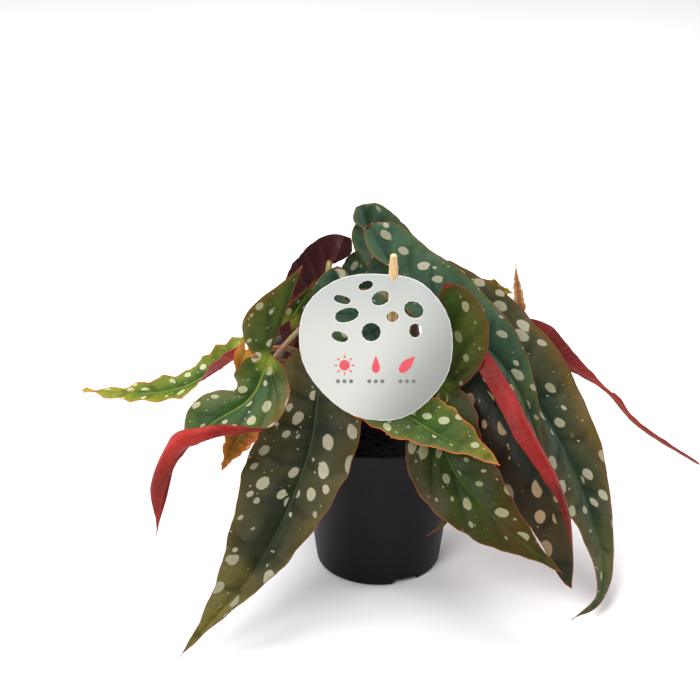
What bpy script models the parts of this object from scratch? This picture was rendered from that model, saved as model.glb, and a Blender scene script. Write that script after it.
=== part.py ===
"""Potted polka dot begonia: a plastic nursery pot of soil, four canes with spotted wing-shaped leaves, and a
round display card threaded on a wooden stick.

The origin is the middle of the pot's foot, on the surface that the pot stands on. -Y is the front and +Z is up.
Sizes are written in millimetres, and MM turns them into Blender's metres.
"""

import math

import bmesh
import bpy
import numpy as np
from mathutils import Matrix, Vector

MM = 0.001
GAP = 0.35  # between pieces that touch

# Pot
POT_HEIGHT = 110.0
POT_FOOT_RADIUS = 43.0
POT_RIM_RADIUS = 60.0
POT_WALL = 1.2
POT_COLLAR_HEIGHT = 21.0
POT_COLLAR_STEP = 1.4
COLLAR_FOOT = POT_HEIGHT - POT_COLLAR_HEIGHT
POT_FLOOR_HEIGHT = 5.0
POT_FLOOR_THICKNESS = 1.6
POT_FOOT_WIDTH = 3.0
POT_PAD_RADIUS = 9.0
POT_FILLET = 2.0
POT_CHAMFER = 0.8
POT_BEAD_HEIGHT = 2.6
POT_BEAD_DEPTH = 0.9
POT_STEPS = 40
NOTCH_WIDTH = 19.0
NOTCH_HEIGHT = 4.4
NOTCH_DEPTH = 14.0
NOTCH_ANGLES = (-65.0, 55.0, 175.0)
DRAIN_COUNT = 6
DRAIN_RADIUS = 3.5
DRAIN_RING_RADIUS = 27.0
DRAIN_SIDES = 12

# Soil
SOIL_EDGE_HEIGHT = 106.0
SOIL_CROWN = 5.0
SOIL_STEPS = 24
SOIL_LUMP = 1.2
SOIL_LUMPS = 9.0
SOIL_SLACK = POT_WALL + GAP + 0.4  # from the pot's outer side to the soil
HOLE_SIDES = 16

# Canes and leaf stalks
CANE_RADII = (4.5, 3.4)
CANE_BEVEL = 2
STALK_RADII = (2.5, 1.7)
STALK_BEVEL = 1
STALK_SEAT = 0.75  # from the cane's skin to the end of a stalk
STALK_RUN = 0.35  # of the way to the next point, straight out of the cane
STALK_INTO_RIB = 3.0
TUBE_SAMPLES = 3  # between two points of a cane or a stalk

# Blades
BLADE_THICKNESS = 0.8
RIB_THICKNESS = 2.2
TIP_HALF_WIDTH = 1.0
MIDRIB_SAMPLES = 40  # between two points of a midrib
ARC_STEPS = 24
VEIN_SWEEP = 1.6
VEIN_BOW = 0.03
EAR_ROOT = -6.0  # where the first row of an ear leaves the midrib
EAR_SPREAD = 4.0  # from there to where its last row leaves it
EAR_SWEEP = 1.3
NECK = 2.0
NECK_REACH = 0.05  # on both sides of the neck, as a share of the blade
MARGIN_SPREAD = 1.35
SINUS = 0.01
CROSS_RISE = 0.3

# Display card and its stick
CARD_THICKNESS = 0.8
CARD_LEAN = math.radians(14)
CARD_CENTRE = Vector((-3.5, -61.0, 190.7))
CARD_EDGE = ((9, 47.5), (34, 38), (49, 1), (33.5, -34.5), (3.5, -47.5), (-34, -29), (-49, 9), (-35, 38))
CARD_HOLES = (  # across, up, half length, half height, tilt in degrees
    (-6.5, 40.5, 4.9, 3.0, 20),
    (-21.5, 31.5, 5.6, 2.7, -15),
    (3.0, 32.5, 6.2, 4.6, 25),
    (-18.5, 21.5, 7.9, 4.6, 15),
    (10.5, 20.5, 3.9, 3.7, 0),
    (24.0, 25.0, 6.6, 5.3, -30),
    (-23.0, 7.5, 5.6, 3.3, -20),
    (-3.0, 10.5, 6.2, 6.2, 0),
    (25.0, 11.5, 3.9, 4.7, 0),
)
STICK_RADIUS = 3.0
STICK_FOOT = Vector((7.0, -22.4, 62.0))
STICK_TOP = Vector((7.5, -50.6, 251.0))
STICK_TIP_RADIUS = 2.2
STICK_TAPER = 14.0
STICK_SIDES = 16
STICK_ROUND = 0.8
LOOP_WALL = 0.8
LOOP_FROM_TOP = 19.0
LOOP_HEIGHT = 5.0
CARD_EDGE_STEPS = 5  # between two points of its outline
CARD_HOLE_STEPS = 3

# Each cane as points from its foot in the soil to its tip
CANES = {
    "left": ((-14, -2, 70), (-16, -1, 98), (-24, 4, 130), (-30, 8, 165), (-34, 14, 205)),
    "right": ((14, 4, 70), (16, 5, 98), (21, 10, 130), (24, 16, 160), (22, 20, 182)),
    "back": ((0, 18, 70), (0, 24, 98), (-2, 44, 140), (-4, 58, 170), (-4, 63, 182)),
    "side": ((26, 18, 70), (32, 24, 98), (50, 38, 124), (70, 51, 142), (86, 56, 149)),
}


def half(
    width,
    lobe=8,
    widest=0.6,
    round_base=0.6,
    taper=1.5,
    tail=TIP_HALF_WIDTH,
    cross=0,
    ear=None,
    bite=None,
    fold=(8, 12, 5),
    curl=(-4, -6, 0),
    roll=None,
):
    """One half of a blade, in millimetres and degrees.

    width is out from the midrib, tail the least width towards the tip, lobe how far it reaches behind the
    stalk, and cross how far that lobe swings over the midrib's line. ear is (width, widest, roundness) of a lobe
    that a neck parts from the blade, and bite (place, depth, reach) a dent in the margin. fold is the angle at
    the midrib and curl the bend for each 10 mm outwards, both from base to tip. roll is (starts from base to
    tip, radius, angle) of a rolled margin.
    """
    return dict(
        width=width,
        lobe=lobe,
        widest=widest,
        round_base=round_base,
        taper=taper,
        tail=tail,
        cross=cross,
        ear=ear,
        bite=bite,
        fold=fold,
        curl=curl,
        roll=roll,
    )


def leaf(midrib, faces, left, right, stalk, rows=15, cols=3, teeth=0.0, wave=(2.5, 60, 0.0)):
    """A leaf: midrib is [lobe end, stalk end, ..., tip], and faces the way its upper side looks from base to tip.

    stalk is (cane, height or "end", points on the way). wave is (height, length, phase) of the margin's ripple.
    """
    return dict(
        midrib=midrib, faces=faces, left=left, right=right, stalk=stalk, rows=rows, cols=cols, teeth=teeth, wave=wave
    )


LEAVES = {
    "leaf_front_left": leaf(
        [(-34, 2, 188), (-40, -30, 150), (-49, -66, 110), (-78, -106, 60), (-130, -140, 8)],
        [(-0.2, -0.8, 0.6), (-0.2, -0.8, 0.6), (-0.1, -0.8, 0.5)],
        half(32, lobe=24, widest=0.42, cross=8),
        half(38, lobe=22, widest=0.64, round_base=0.45),
        ("left", 121, (-36, -14, 134)),
        rows=16,
    ),
    "leaf_left_wing": leaf(
        [(-48, -38, 244), (-73, -62, 181), (-84, -82, 165), (-110, -104, 156), (-134, -113, 128), (-143, -117, 86)],
        [(0, -0.95, 0.3), (-0.3, -0.7, 0.7), (-0.6, 0.4, 0.7), (-0.4, 0.95, 0.2)],
        half(27, lobe=3, widest=0.7, roll=((34, 16, 3, 0), 4, 160)),
        half(20, lobe=66, widest=0.6, round_base=0.35, ear=(24, 1.9, 0.55), bite=(0.2, 9, 0.06)),
        ("left", 172, (-48, -22, 190)),
        rows=20,
    ),
    "leaf_far_left": leaf(
        [(-78, -25, 190), (-92, -25, 172), (-130, -20, 143), (-168, -12, 133), (-204, 0, 130)],
        [(-0.1, -0.5, 0.8), (-0.1, -0.5, 0.8), (0, -0.5, 0.8)],
        half(12, lobe=8, fold=(80, 25, 5)),
        half(11, lobe=12),
        ("left", 152, (-62, -10, 166)),
        rows=17,
        cols=2,
        teeth=3.0,
    ),
    "young_leaf_left": leaf(
        [(-82, -48, 140), (-86, -52, 134), (-96, -62, 120), (-104, -70, 106)],
        [(-0.1, -0.9, 0.3), (-0.1, -0.9, 0.3)],
        half(10, lobe=5),
        half(9, lobe=5),
        ("left", 138, (-62, -8, 146), (-80, -34, 146)),
        rows=12,
        cols=2,
        teeth=1.4,
    ),
    "young_leaf_middle": leaf(
        [(-86, -42, 186), (-88, -44, 180), (-91, -48, 172), (-93, -52, 163)],
        [(-0.3, -0.9, 0.3), (-0.3, -0.9, 0.3)],
        half(6.5, lobe=6),
        half(6, lobe=6),
        ("left", 145, (-64, -10, 156), (-82, -34, 170)),
        rows=8,
        cols=2,
    ),
    "young_leaf_inner": leaf(
        [(-64, -12, 178), (-60, -10, 186), (-50, -8, 202), (-43, -6, 214)],
        [(0, -0.9, -0.2), (0, -0.9, -0.2)],
        half(8, lobe=5),
        half(8, lobe=5),
        ("left", 160, (-48, -2, 168)),
        rows=10,
        cols=2,
    ),
    "leaf_red_backed": leaf(
        [(-23, 42, 226), (-34, 36, 203), (-51, 28, 175), (-63, 22, 136)],
        [(0.1, 0.9, 0.3), (0.1, 0.9, 0.3), (0, 0.9, 0.4)],
        half(24, lobe=26, widest=0.6, taper=1.0, cross=9),
        half(22, lobe=0, widest=0.6, taper=0.8),
        ("left", "end", (-34, 23, 214)),
    ),
    "leaf_behind_card": leaf(
        [(-31, 5, 216), (-22, -4, 198), (0, -20, 172), (15, -26, 148)],
        [(0.1, -0.9, 0.3), (0.1, -0.9, 0.3), (0, -0.9, 0.4)],
        half(22, lobe=4),
        half(24, lobe=24, widest=0.55, cross=8),
        ("left", 182, (-26, 2, 188)),
        rows=12,
    ),
    "leaf_inner": leaf(
        [(-6, 50, 222), (-8, 48, 200), (-12, 42, 165), (-14, 36, 130)],
        [(0.1, -0.9, 0.3), (0.1, -0.9, 0.3), (0, -0.9, 0.4)],
        half(22, lobe=22),
        half(20, lobe=12),
        ("back", 160, (-9, 50, 185)),
        rows=12,
    ),
    "leaf_top": leaf(
        [(-12, 94, 228), (-3, 88, 206), (12, 84, 186), (28, 82, 162), (38, 80, 130)],
        [(0.2, -0.6, 0.8), (0.3, -0.6, 0.8), (0.5, -0.6, 0.5)],
        half(26, lobe=25, widest=0.55, cross=11),
        half(22, lobe=14),
        ("back", "end", (-4, 76, 193)),
        rows=16,
    ),
    "leaf_upper_right": leaf(
        [(-12, 45, 243), (16, 20, 203), (52, 2, 180), (88, -18, 148), (115, -38, 86)],
        [(0.1, -0.75, 0.65), (0.3, -0.75, 0.6), (0.5, -0.8, 0.3)],
        half(31, lobe=44, widest=0.55, cross=10),
        half(18, lobe=8),
        ("right", "end", (19, 20, 193)),
        rows=16,
    ),
    "leaf_outer_right": leaf(
        [(30, 48, 195), (50, 42, 176), (90, 22, 140), (127, -12, 90), (149, -48, 40), (148, -77, 14), (127, -97, 8)],
        [(0.1, -0.75, 0.65), (0.3, -0.75, 0.6), (0.5, -0.8, 0.3), (0.5, -0.8, 0.3)],
        half(34, lobe=36, widest=0.6, cross=6),
        half(24, lobe=8, widest=0.85),
        ("right", 150, (40, 34, 166)),
        rows=19,
    ),
    "leaf_rolled_right": leaf(
        [(37, 2, 193), (49, -16, 171), (69, -46, 150), (97, -76, 114), (115, -93, 84), (124, -108, 40)],
        [(-0.3, -0.85, 0.45), (-0.5, -0.8, 0.35), (-0.6, -0.75, 0.1)],
        half(34, lobe=18, widest=0.62, taper=1.0, roll=((14, 14, 9, 0), 4, 172)),
        half(28, lobe=8, widest=0.9, taper=0.6),
        ("right", 128, (30, -22, 144)),
        rows=16,
        cols=5,
    ),
    "leaf_front_right": leaf(
        [(45, -31, 220), (41, -48, 155), (43, -75, 119), (69, -103, 94), (116, -125, 62)],
        [(0, -0.9, 0.4), (0, -0.7, 0.7), (-0.1, -0.7, 0.7)],
        half(25, lobe=70, widest=0.6, round_base=0.35, cross=10, ear=(29, 0.9, 0.4), curl=(6, -5, 0)),
        half(27, lobe=0, widest=0.7),
        ("right", 123, (32, -30, 137)),
        rows=20,
    ),
    "young_leaf_low": leaf(
        [(50, -43, 118), (51, -46, 112), (54, -54, 90), (44, -53, 58), (32, -50, 44)],
        [(0.5, -0.8, 0.3), (0.5, -0.8, 0.3)],
        half(8, lobe=4),
        half(7, lobe=4),
        ("right", 115, (34, -24, 122)),
        rows=10,
        cols=2,
    ),
    "leaf_under_card": leaf(
        [(-14, -38, 155), (-7, -42, 150), (22, -67, 142), (39, -82, 138), (75, -100, 127)],
        [(0, -0.5, 0.85), (0, -0.5, 0.85), (0, -0.5, 0.85)],
        half(20, lobe=6, widest=1.0, round_base=2.0, taper=1.0, fold=(35, 32, 15)),
        half(22, lobe=20, widest=0.5),
        ("right", 118.5, (2, -20, 127), (-3, -37, 143)),
        rows=16,
        teeth=1.4,
    ),
    "young_leaf_side": leaf(
        [(58, 68, 163), (66, 70, 167), (80, 74, 171), (96, 77, 168)],
        [(0, -0.8, 0.6), (0, -0.8, 0.6)],
        half(9, lobe=5),
        half(8, lobe=5),
        ("side", 130, (60, 58, 146)),
        rows=10,
        cols=2,
        teeth=1.0,
    ),
    "leaf_far_right": leaf(
        [(98, 62, 154), (104, 60, 147), (138, 58, 121), (167, 52, 99), (188, 46, 77), (232, 40, 49)],
        [(0.3, 0.85, 0.3), (0.3, 0.85, 0.3), (0.3, 0.85, 0.3)],
        half(14, lobe=6, widest=0.3, round_base=1.0, taper=7.0, tail=3.0),
        half(14, lobe=6, widest=0.3, round_base=1.0, taper=7.0, tail=3.0),
        ("side", 143, (90, 60, 142)),
        rows=14,
        cols=2,
    ),
    "dried_bract": leaf(
        [(100, 60, 155), (100, 60, 158), (98, 62, 176), (95, 62, 197)],
        [(0.3, -0.9, 0.1), (-0.3, -0.9, 0.1), (-0.6, -0.7, 0.1)],
        half(4.5, lobe=1.5, fold=(30, 40, 30)),
        half(4, lobe=1.5, fold=(20, 30, 20)),
        ("side", "end", (94, 58, 152)),
        rows=10,
        cols=2,
        wave=(1.5, 24, 0.0),
    ),
    "leaf_back_left": leaf(
        [(-26, 60, 190), (-38, 76, 172), (-58, 106, 148), (-72, 126, 98), (-74, 132, 40)],
        [(-0.3, 0.5, 0.8), (-0.3, 0.7, 0.6), (-0.3, 0.9, 0.2)],
        half(22, lobe=8, widest=0.7),
        half(32, lobe=30, widest=0.5),
        ("back", 166, (-24, 66, 172)),
    ),
    "leaf_back": leaf(
        [(-4, 80, 176), (0, 98, 162), (2, 126, 126), (8, 138, 78), (20, 136, 26)],
        [(0, 0.5, 0.8), (0, 0.7, 0.6), (0, 0.9, 0.2)],
        half(30, lobe=12, widest=0.5),
        half(25, lobe=8, widest=0.7),
        ("back", 140, (0, 72, 146)),
    ),
    "leaf_back_right": leaf(
        [(50, 80, 172), (62, 92, 158), (94, 114, 132), (120, 122, 84), (132, 116, 34)],
        [(0.3, 0.5, 0.8), (0.4, 0.6, 0.7), (0.4, 0.8, 0.3)],
        half(32, lobe=20, widest=0.5),
        half(24, lobe=8, widest=0.7),
        ("back", 120, (30, 64, 130)),
    ),
    "leaf_left_back": leaf(
        [(-46, 38, 180), (-52, 46, 160), (-74, 62, 130), (-86, 70, 82), (-82, 68, 32)],
        [(-0.5, 0.4, 0.7), (-0.7, 0.4, 0.6), (-0.8, 0.5, 0.2)],
        half(15, lobe=8, widest=0.7),
        half(29, lobe=20, widest=0.5),
        ("left", 136, (-42, 28, 150)),
    ),
}


# --- Scene, collections and materials ---


def clear_scene():
    for obj in list(bpy.data.objects):
        bpy.data.objects.remove(obj, do_unlink=True)


def new_collection(name):
    collection = bpy.data.collections.new(name)
    bpy.context.scene.collection.children.link(collection)
    return collection


def material(name, colour, roughness):
    made = bpy.data.materials.new(name)
    made.use_nodes = True
    shader = made.node_tree.nodes["Principled BSDF"]
    shader.inputs["Base Color"].default_value = (*colour, 1)
    shader.inputs["Roughness"].default_value = roughness
    shader.inputs["Metallic"].default_value = 0
    made.diffuse_color = (*colour, 1)
    return made


def mesh_object(name, mesh, collection, finish=None):
    obj = bpy.data.objects.new(name, mesh)
    collection.objects.link(obj)
    if finish:
        mesh.materials.append(finish)
    return obj


def as_cutter(obj):
    for collection in list(obj.users_collection):
        collection.objects.unlink(obj)
    cutters.objects.link(obj)
    obj.hide_render = True
    obj.display_type = "WIRE"
    return obj


def boolean(obj, other, operation, solver="EXACT"):
    modifier = obj.modifiers.new(operation.lower(), "BOOLEAN")
    modifier.object = other
    modifier.operation = operation
    modifier.solver = solver


def smooth(obj, angle=35):
    obj.data.shade_smooth()
    obj.data.set_sharp_from_angle(angle=math.radians(angle))


def to_mesh(obj, weld):
    """Replaces a curve or a modified object by the mesh that it shows, with points nearer than weld joined."""
    bpy.context.view_layer.update()
    shown = obj.evaluated_get(bpy.context.evaluated_depsgraph_get())
    mesh = bpy.data.meshes.new_from_object(shown)
    cage = bmesh.new()
    cage.from_mesh(mesh)
    bmesh.ops.remove_doubles(cage, verts=cage.verts, dist=weld * MM)
    cage.to_mesh(mesh)
    cage.free()
    name, place = obj.name, obj.matrix_world.copy()
    collection = obj.users_collection[0]
    bpy.data.objects.remove(obj, do_unlink=True)
    made = bpy.data.objects.new(name, mesh)
    made.matrix_world = place
    collection.objects.link(made)
    return made


# --- Curves through points ---


def through(points, samples):
    """Points of a smooth curve through the given ones (Catmull-Rom)."""
    given = np.asarray([tuple(point) for point in points], float)
    ends = np.vstack([2 * given[0] - given[1], given, 2 * given[-1] - given[-2]])
    t = np.linspace(0, 1, samples, endpoint=False)[:, None]
    pieces = []
    for before, start, end, after in zip(ends, ends[1:], ends[2:], ends[3:]):
        bend = 2 * before - 5 * start + 4 * end - after
        twist = 3 * start - before - 3 * end + after
        pieces.append(start + 0.5 * (end - before) * t + 0.5 * bend * t**2 + 0.5 * twist * t**3)
    return np.vstack([*pieces, given[-1:]])


def unit(vectors):
    return vectors / np.linalg.norm(vectors, axis=-1)[..., None]


def tube(name, points, radii, bevel, collection):
    """A round bar through points, its radius going evenly from the first of radii to the last."""
    line = through(points, TUBE_SAMPLES)
    curve = bpy.data.curves.new(name, "CURVE")
    curve.dimensions = "3D"
    curve.bevel_depth = MM
    curve.bevel_resolution = bevel
    curve.use_fill_caps = True
    spline = curve.splines.new("POLY")
    spline.points.add(len(line) - 1)
    for index, (point, place) in enumerate(zip(spline.points, line)):
        point.co = (*(place * MM), 1)
        point.radius = radii[0] + (radii[1] - radii[0]) * index / (len(line) - 1)
    obj = bpy.data.objects.new(name, curve)
    collection.objects.link(obj)
    return to_mesh(obj, weld=0.01)


# --- Pot and soil ---


def turned(name, profile, steps, collection, finish):
    """A closed body turned about Z from a profile of (radius, height) that starts and ends on the axis."""
    shape = bmesh.new()
    rim = [shape.verts.new((radius * MM, 0, height * MM)) for radius, height in profile]
    for start, end in zip(rim, rim[1:]):
        shape.edges.new((start, end))
    mesh = bpy.data.meshes.new(name)
    shape.to_mesh(mesh)
    shape.free()
    obj = mesh_object(name, mesh, collection)
    screw = obj.modifiers.new("turn", "SCREW")
    screw.steps = steps
    screw.render_steps = steps
    screw.use_merge_vertices = True
    screw.merge_threshold = 0.00001
    made = to_mesh(obj, weld=0.01)
    made.data.materials.append(finish)
    return made


def collar_radius(height):
    """Outer radius of the pot's collar, under the bead of its rim."""
    slope = (POT_RIM_RADIUS - POT_FOOT_RADIUS) / POT_HEIGHT
    return POT_RIM_RADIUS - POT_BEAD_DEPTH - slope * (POT_HEIGHT - height)


def wall_radius(height):
    """Outer radius of the pot's tapered wall, below its collar."""
    top = collar_radius(COLLAR_FOOT) - POT_COLLAR_STEP
    return POT_FOOT_RADIUS + (top - POT_FOOT_RADIUS) * height / COLLAR_FOOT


def make_pot():
    floor_top = POT_FLOOR_HEIGHT + POT_FLOOR_THICKNESS
    foot_inside = POT_FOOT_RADIUS - POT_FOOT_WIDTH
    profile = (
        (0, floor_top),
        (wall_radius(floor_top) - POT_WALL - POT_FILLET, floor_top),
        (wall_radius(floor_top) - POT_WALL, floor_top + POT_FILLET),
        (wall_radius(COLLAR_FOOT) - POT_WALL, COLLAR_FOOT - POT_FILLET),
        (collar_radius(COLLAR_FOOT) - POT_WALL, COLLAR_FOOT + POT_CHAMFER),
        (collar_radius(POT_HEIGHT) - POT_WALL, POT_HEIGHT - POT_CHAMFER),
        (POT_RIM_RADIUS - POT_WALL, POT_HEIGHT),
        (POT_RIM_RADIUS - POT_CHAMFER / 2, POT_HEIGHT),
        (POT_RIM_RADIUS, POT_HEIGHT - POT_CHAMFER / 2),
        (POT_RIM_RADIUS, POT_HEIGHT - POT_BEAD_HEIGHT + POT_CHAMFER),
        (collar_radius(POT_HEIGHT - POT_BEAD_HEIGHT), POT_HEIGHT - POT_BEAD_HEIGHT),
        (collar_radius(COLLAR_FOOT), COLLAR_FOOT),
        (wall_radius(COLLAR_FOOT), COLLAR_FOOT - POT_CHAMFER),
        (wall_radius(POT_FILLET), POT_FILLET),
        (POT_FOOT_RADIUS - POT_CHAMFER, 0),
        (foot_inside, 0),
        (foot_inside - POT_CHAMFER, POT_FLOOR_HEIGHT),
        (POT_PAD_RADIUS + POT_CHAMFER, POT_FLOOR_HEIGHT),
        (POT_PAD_RADIUS, 0),
        (0, 0),
    )
    pot = turned("pot", profile, POT_STEPS, parts, material("pot_plastic", (0.012, 0.010, 0.014), 0.5))
    for index in range(DRAIN_COUNT):
        angle = 2 * math.pi * index / DRAIN_COUNT
        place = Vector((math.cos(angle), math.sin(angle), 0)) * DRAIN_RING_RADIUS
        place.z = POT_FLOOR_HEIGHT
        depth = POT_FLOOR_HEIGHT + POT_FLOOR_THICKNESS
        drain = cylinder(f"drain_{index}", DRAIN_RADIUS, depth, Matrix.Translation(place * MM), DRAIN_SIDES)
        boolean(pot, as_cutter(drain), "DIFFERENCE")
    for index, degrees in enumerate(NOTCH_ANGLES):
        turn = Matrix.Rotation(math.radians(degrees), 4, "Z")
        place = turn @ Matrix.Translation(Vector((POT_FOOT_RADIUS, 0, 0)) * MM)
        notch = box(f"notch_{index}", (NOTCH_DEPTH, NOTCH_WIDTH, 2 * NOTCH_HEIGHT), place)
        boolean(pot, as_cutter(notch), "DIFFERENCE")
    smooth(pot)
    return pot


def make_soil():
    floor_top = POT_FLOOR_HEIGHT + POT_FLOOR_THICKNESS + GAP
    edge = collar_radius(SOIL_EDGE_HEIGHT) - SOIL_SLACK
    profile = []
    for share in (0, 0.25, 0.5, 0.75, 0.93):
        lump = SOIL_LUMP * math.sin(SOIL_LUMPS * share)
        profile.append((share * edge, SOIL_EDGE_HEIGHT + SOIL_CROWN * (1 - share**2) + lump))
    profile += [
        (edge, SOIL_EDGE_HEIGHT - POT_CHAMFER),
        (wall_radius(COLLAR_FOOT) - SOIL_SLACK, COLLAR_FOOT + POT_FILLET),
        (wall_radius(COLLAR_FOOT - 2 * POT_FILLET) - SOIL_SLACK, COLLAR_FOOT - 2 * POT_FILLET),
        (wall_radius(floor_top) - SOIL_SLACK, floor_top + 2 * POT_FILLET),
        (wall_radius(floor_top) - SOIL_SLACK - 2 * POT_FILLET, floor_top),
        (0, floor_top),
    ]
    soil = turned("soil", profile, SOIL_STEPS, parts, material("soil_peat", (0.012, 0.009, 0.007), 0.95))
    for name, points in CANES.items():
        radii = [radius + GAP for radius in CANE_RADII]
        hole = tube(f"hole_{name}", [Vector(points[0]) - Vector((0, 0, GAP)), *points[1:]], radii, CANE_BEVEL, cutters)
        boolean(soil, as_cutter(hole), "DIFFERENCE")
    boolean(soil, as_cutter(bar("stick_hole", STICK_RADIUS + GAP, HOLE_SIDES, STICK_FOOT, STICK_TOP, GAP)), "DIFFERENCE")
    smooth(soil, 60)
    return soil


# --- Primitives placed by a matrix ---


def cylinder(name, radius, length, place, sides):
    bpy.ops.mesh.primitive_cylinder_add(vertices=sides, radius=radius * MM, depth=length * MM)
    obj = bpy.context.object
    obj.name = name
    obj.matrix_world = place
    return obj


def box(name, size, place):
    bpy.ops.mesh.primitive_cube_add(size=1)
    obj = bpy.context.object
    obj.name = name
    obj.data.transform(Matrix.Diagonal((*[side * MM for side in size], 1)))
    obj.matrix_world = place
    return obj


def bar(name, radius, sides, start, end, extra=0.0):
    """A cylinder from start to end, made longer by extra at both ends."""
    along = end - start
    turn = along.to_track_quat("Z", "Y").to_matrix().to_4x4()
    place = Matrix.Translation((start + end) / 2 * MM) @ turn
    return cylinder(name, radius, along.length + 2 * extra, place, sides)


# --- Canes ---


def make_canes():
    bark = material("cane_bark", (0.16, 0.10, 0.05), 0.6)
    for name, points in CANES.items():
        cane = tube(f"cane_{name}", points, CANE_RADII, CANE_BEVEL, parts)
        cane.data.materials.append(bark)
        smooth(cane, 60)


def stalk_seat(cane, height, towards):
    """Where a stalk leaves a cane, and its direction: square to the cane, or along it at the cane's end."""
    line = through(CANES[cane], TUBE_SAMPLES)
    along = unit(np.gradient(line, axis=0))
    share = np.linspace(0, 1, len(line))
    if height == "end":
        return line[-1] + along[-1] * STALK_SEAT, along[-1]
    at = np.array([np.interp(height, line[:, 2], line[:, axis]) for axis in range(3)])
    tangent = np.array([np.interp(height, line[:, 2], along[:, axis]) for axis in range(3)])
    radius = np.interp(np.interp(height, line[:, 2], share), (0, 1), CANE_RADII)
    out = np.asarray(towards, float) - at
    out = unit(out - (out @ tangent) * tangent / (tangent @ tangent))
    return at + out * (radius + STALK_SEAT), out


# --- Leaves ---


class Midrib:
    """The midrib as a smooth line, with the directions along it, up from the blade and to the blade's left."""

    def __init__(self, points, faces):
        self.line = through(points, MIDRIB_SAMPLES)
        steps = np.linalg.norm(np.diff(self.line, axis=0), axis=1)
        run = np.concatenate([[0], np.cumsum(steps)])
        self.along = run - run[MIDRIB_SAMPLES]  # 0 where the stalk joins
        self.length = self.along[-1]
        self.forward = unit(np.gradient(self.line, self.along, axis=0))
        given = np.asarray(faces, float)
        place = np.clip(self.along / self.length, 0, 1) * (len(given) - 1)
        index = np.minimum(place.astype(int), len(given) - 2)
        share = (place - index)[:, None]
        share = share * share * (3 - 2 * share)
        up = given[index] * (1 - share) + given[index + 1] * share
        self.up = unit(up - (up * self.forward).sum(1, keepdims=True) * self.forward)
        self.left = np.cross(self.up, self.forward)

    def at(self, along):
        """Point, up and left at distances along the midrib. Past its ends it runs on straight."""
        rows = (self.line, self.forward, self.up, self.left)
        point, forward, up, left = (
            np.stack([np.interp(along, self.along, row[:, axis]) for axis in range(3)], -1) for row in rows
        )
        past = along - np.clip(along, self.along[0], self.length)
        return point + forward * past[..., None], up, left


def margin_width(plan, length, t):
    """How far the margin is from the midrib, as t goes from the lobe's end to the tip."""
    begin = 0 if plan["cross"] else SINUS
    neck = plan["lobe"] / (length + plan["lobe"]) if plan["ear"] else 0
    blade = np.clip((t - neck) / (1 - neck), 0, 1)
    power = plan["round_base"] + (plan["taper"] - plan["round_base"]) * blade
    width = plan["width"] * np.sin(np.pi * (begin + (1 - begin) * blade) ** plan["widest"]) ** power
    if plan["bite"]:
        place, depth, reach = plan["bite"]
        width = width - depth * np.exp(-(((blade - place) / reach) ** 2))
    if plan["ear"]:
        ear_width, ear_widest, roundness = plan["ear"]
        ear = ear_width * np.sin(np.pi * np.clip(t / neck, 0, 1) ** ear_widest) ** roundness
        width = np.where(t < neck, ear, width)
        width = np.where(np.abs(t - neck) < NECK_REACH, np.maximum(width, NECK), width)
    return np.maximum(width, np.where(t > 0.5, plan["tail"], 0))


def neck_row(plan, length):
    """The row at which a leaf's ear ends, as a share of the rows, or 0 if it has none."""
    lobes = [half_plan["lobe"] for half_plan in (plan["left"], plan["right"]) if half_plan["ear"]]
    return (lobes[0] / (length + lobes[0])) ** (1 / MARGIN_SPREAD) if lobes else 0


def rib_run(row, length, neck):
    """Where each row leaves the midrib. The rows of an ear all leave it just behind the stalk."""
    if neck == 0:
        return length * row**VEIN_SWEEP
    ear = np.clip(row / neck, 0, 1)
    blade = np.clip((row - neck) / (1 - neck), 0, 1)
    return EAR_ROOT + EAR_SPREAD * ear + (length - EAR_ROOT - EAR_SPREAD) * blade**EAR_SWEEP


def flat_half(plan, length, neck, rows, cols, teeth):
    """One half of the blade laid flat: how far along the midrib and out from it, row by row from base to tip."""
    row = np.linspace(0, 1, rows + 1)[:, None]
    t = row**MARGIN_SPREAD
    v = np.linspace(0, 1, cols + 1)[None, :]
    margin_out = margin_width(plan, length, t)
    odd = np.arange(rows + 1)[:, None] % 2
    margin_out = margin_out + teeth * odd * (t > 0.06) * (t < 0.97)
    margin_along = (length + plan["lobe"]) * t - plan["lobe"]
    rib_along = rib_run(row, length, neck)
    along = rib_along + (margin_along - rib_along) * v + VEIN_BOW * length * np.sin(np.pi * v) * np.sin(np.pi * t)
    swing = np.clip((v - 0.2) / 0.8, 0, 1)
    out = margin_out * v - plan["cross"] * np.sin(0.85 * np.pi * swing) * (1 - t) ** 6
    return along, out


def bend(plan, along_share, out):
    """Where a point of one half lands in the midrib's cross-section: sideways and up."""
    fold = np.radians(np.interp(along_share, np.linspace(0, 1, len(plan["fold"])), plan["fold"]))
    curl = np.radians(np.interp(along_share, np.linspace(0, 1, len(plan["curl"])), plan["curl"])) / 10
    side = np.zeros_like(out)
    up = np.zeros_like(out)
    for step in range(ARC_STEPS):
        here = out * (step + 0.5) / ARC_STEPS
        angle = fold + curl * here
        if plan["roll"]:
            starts, radius, most = plan["roll"]
            start = np.interp(along_share, np.linspace(0, 1, len(starts)), starts)
            angle = angle + np.clip((here - start) / radius, 0, math.radians(most))
        side += np.cos(angle) * out / ARC_STEPS
        up += np.sin(angle) * out / ARC_STEPS
    return side, up


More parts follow.
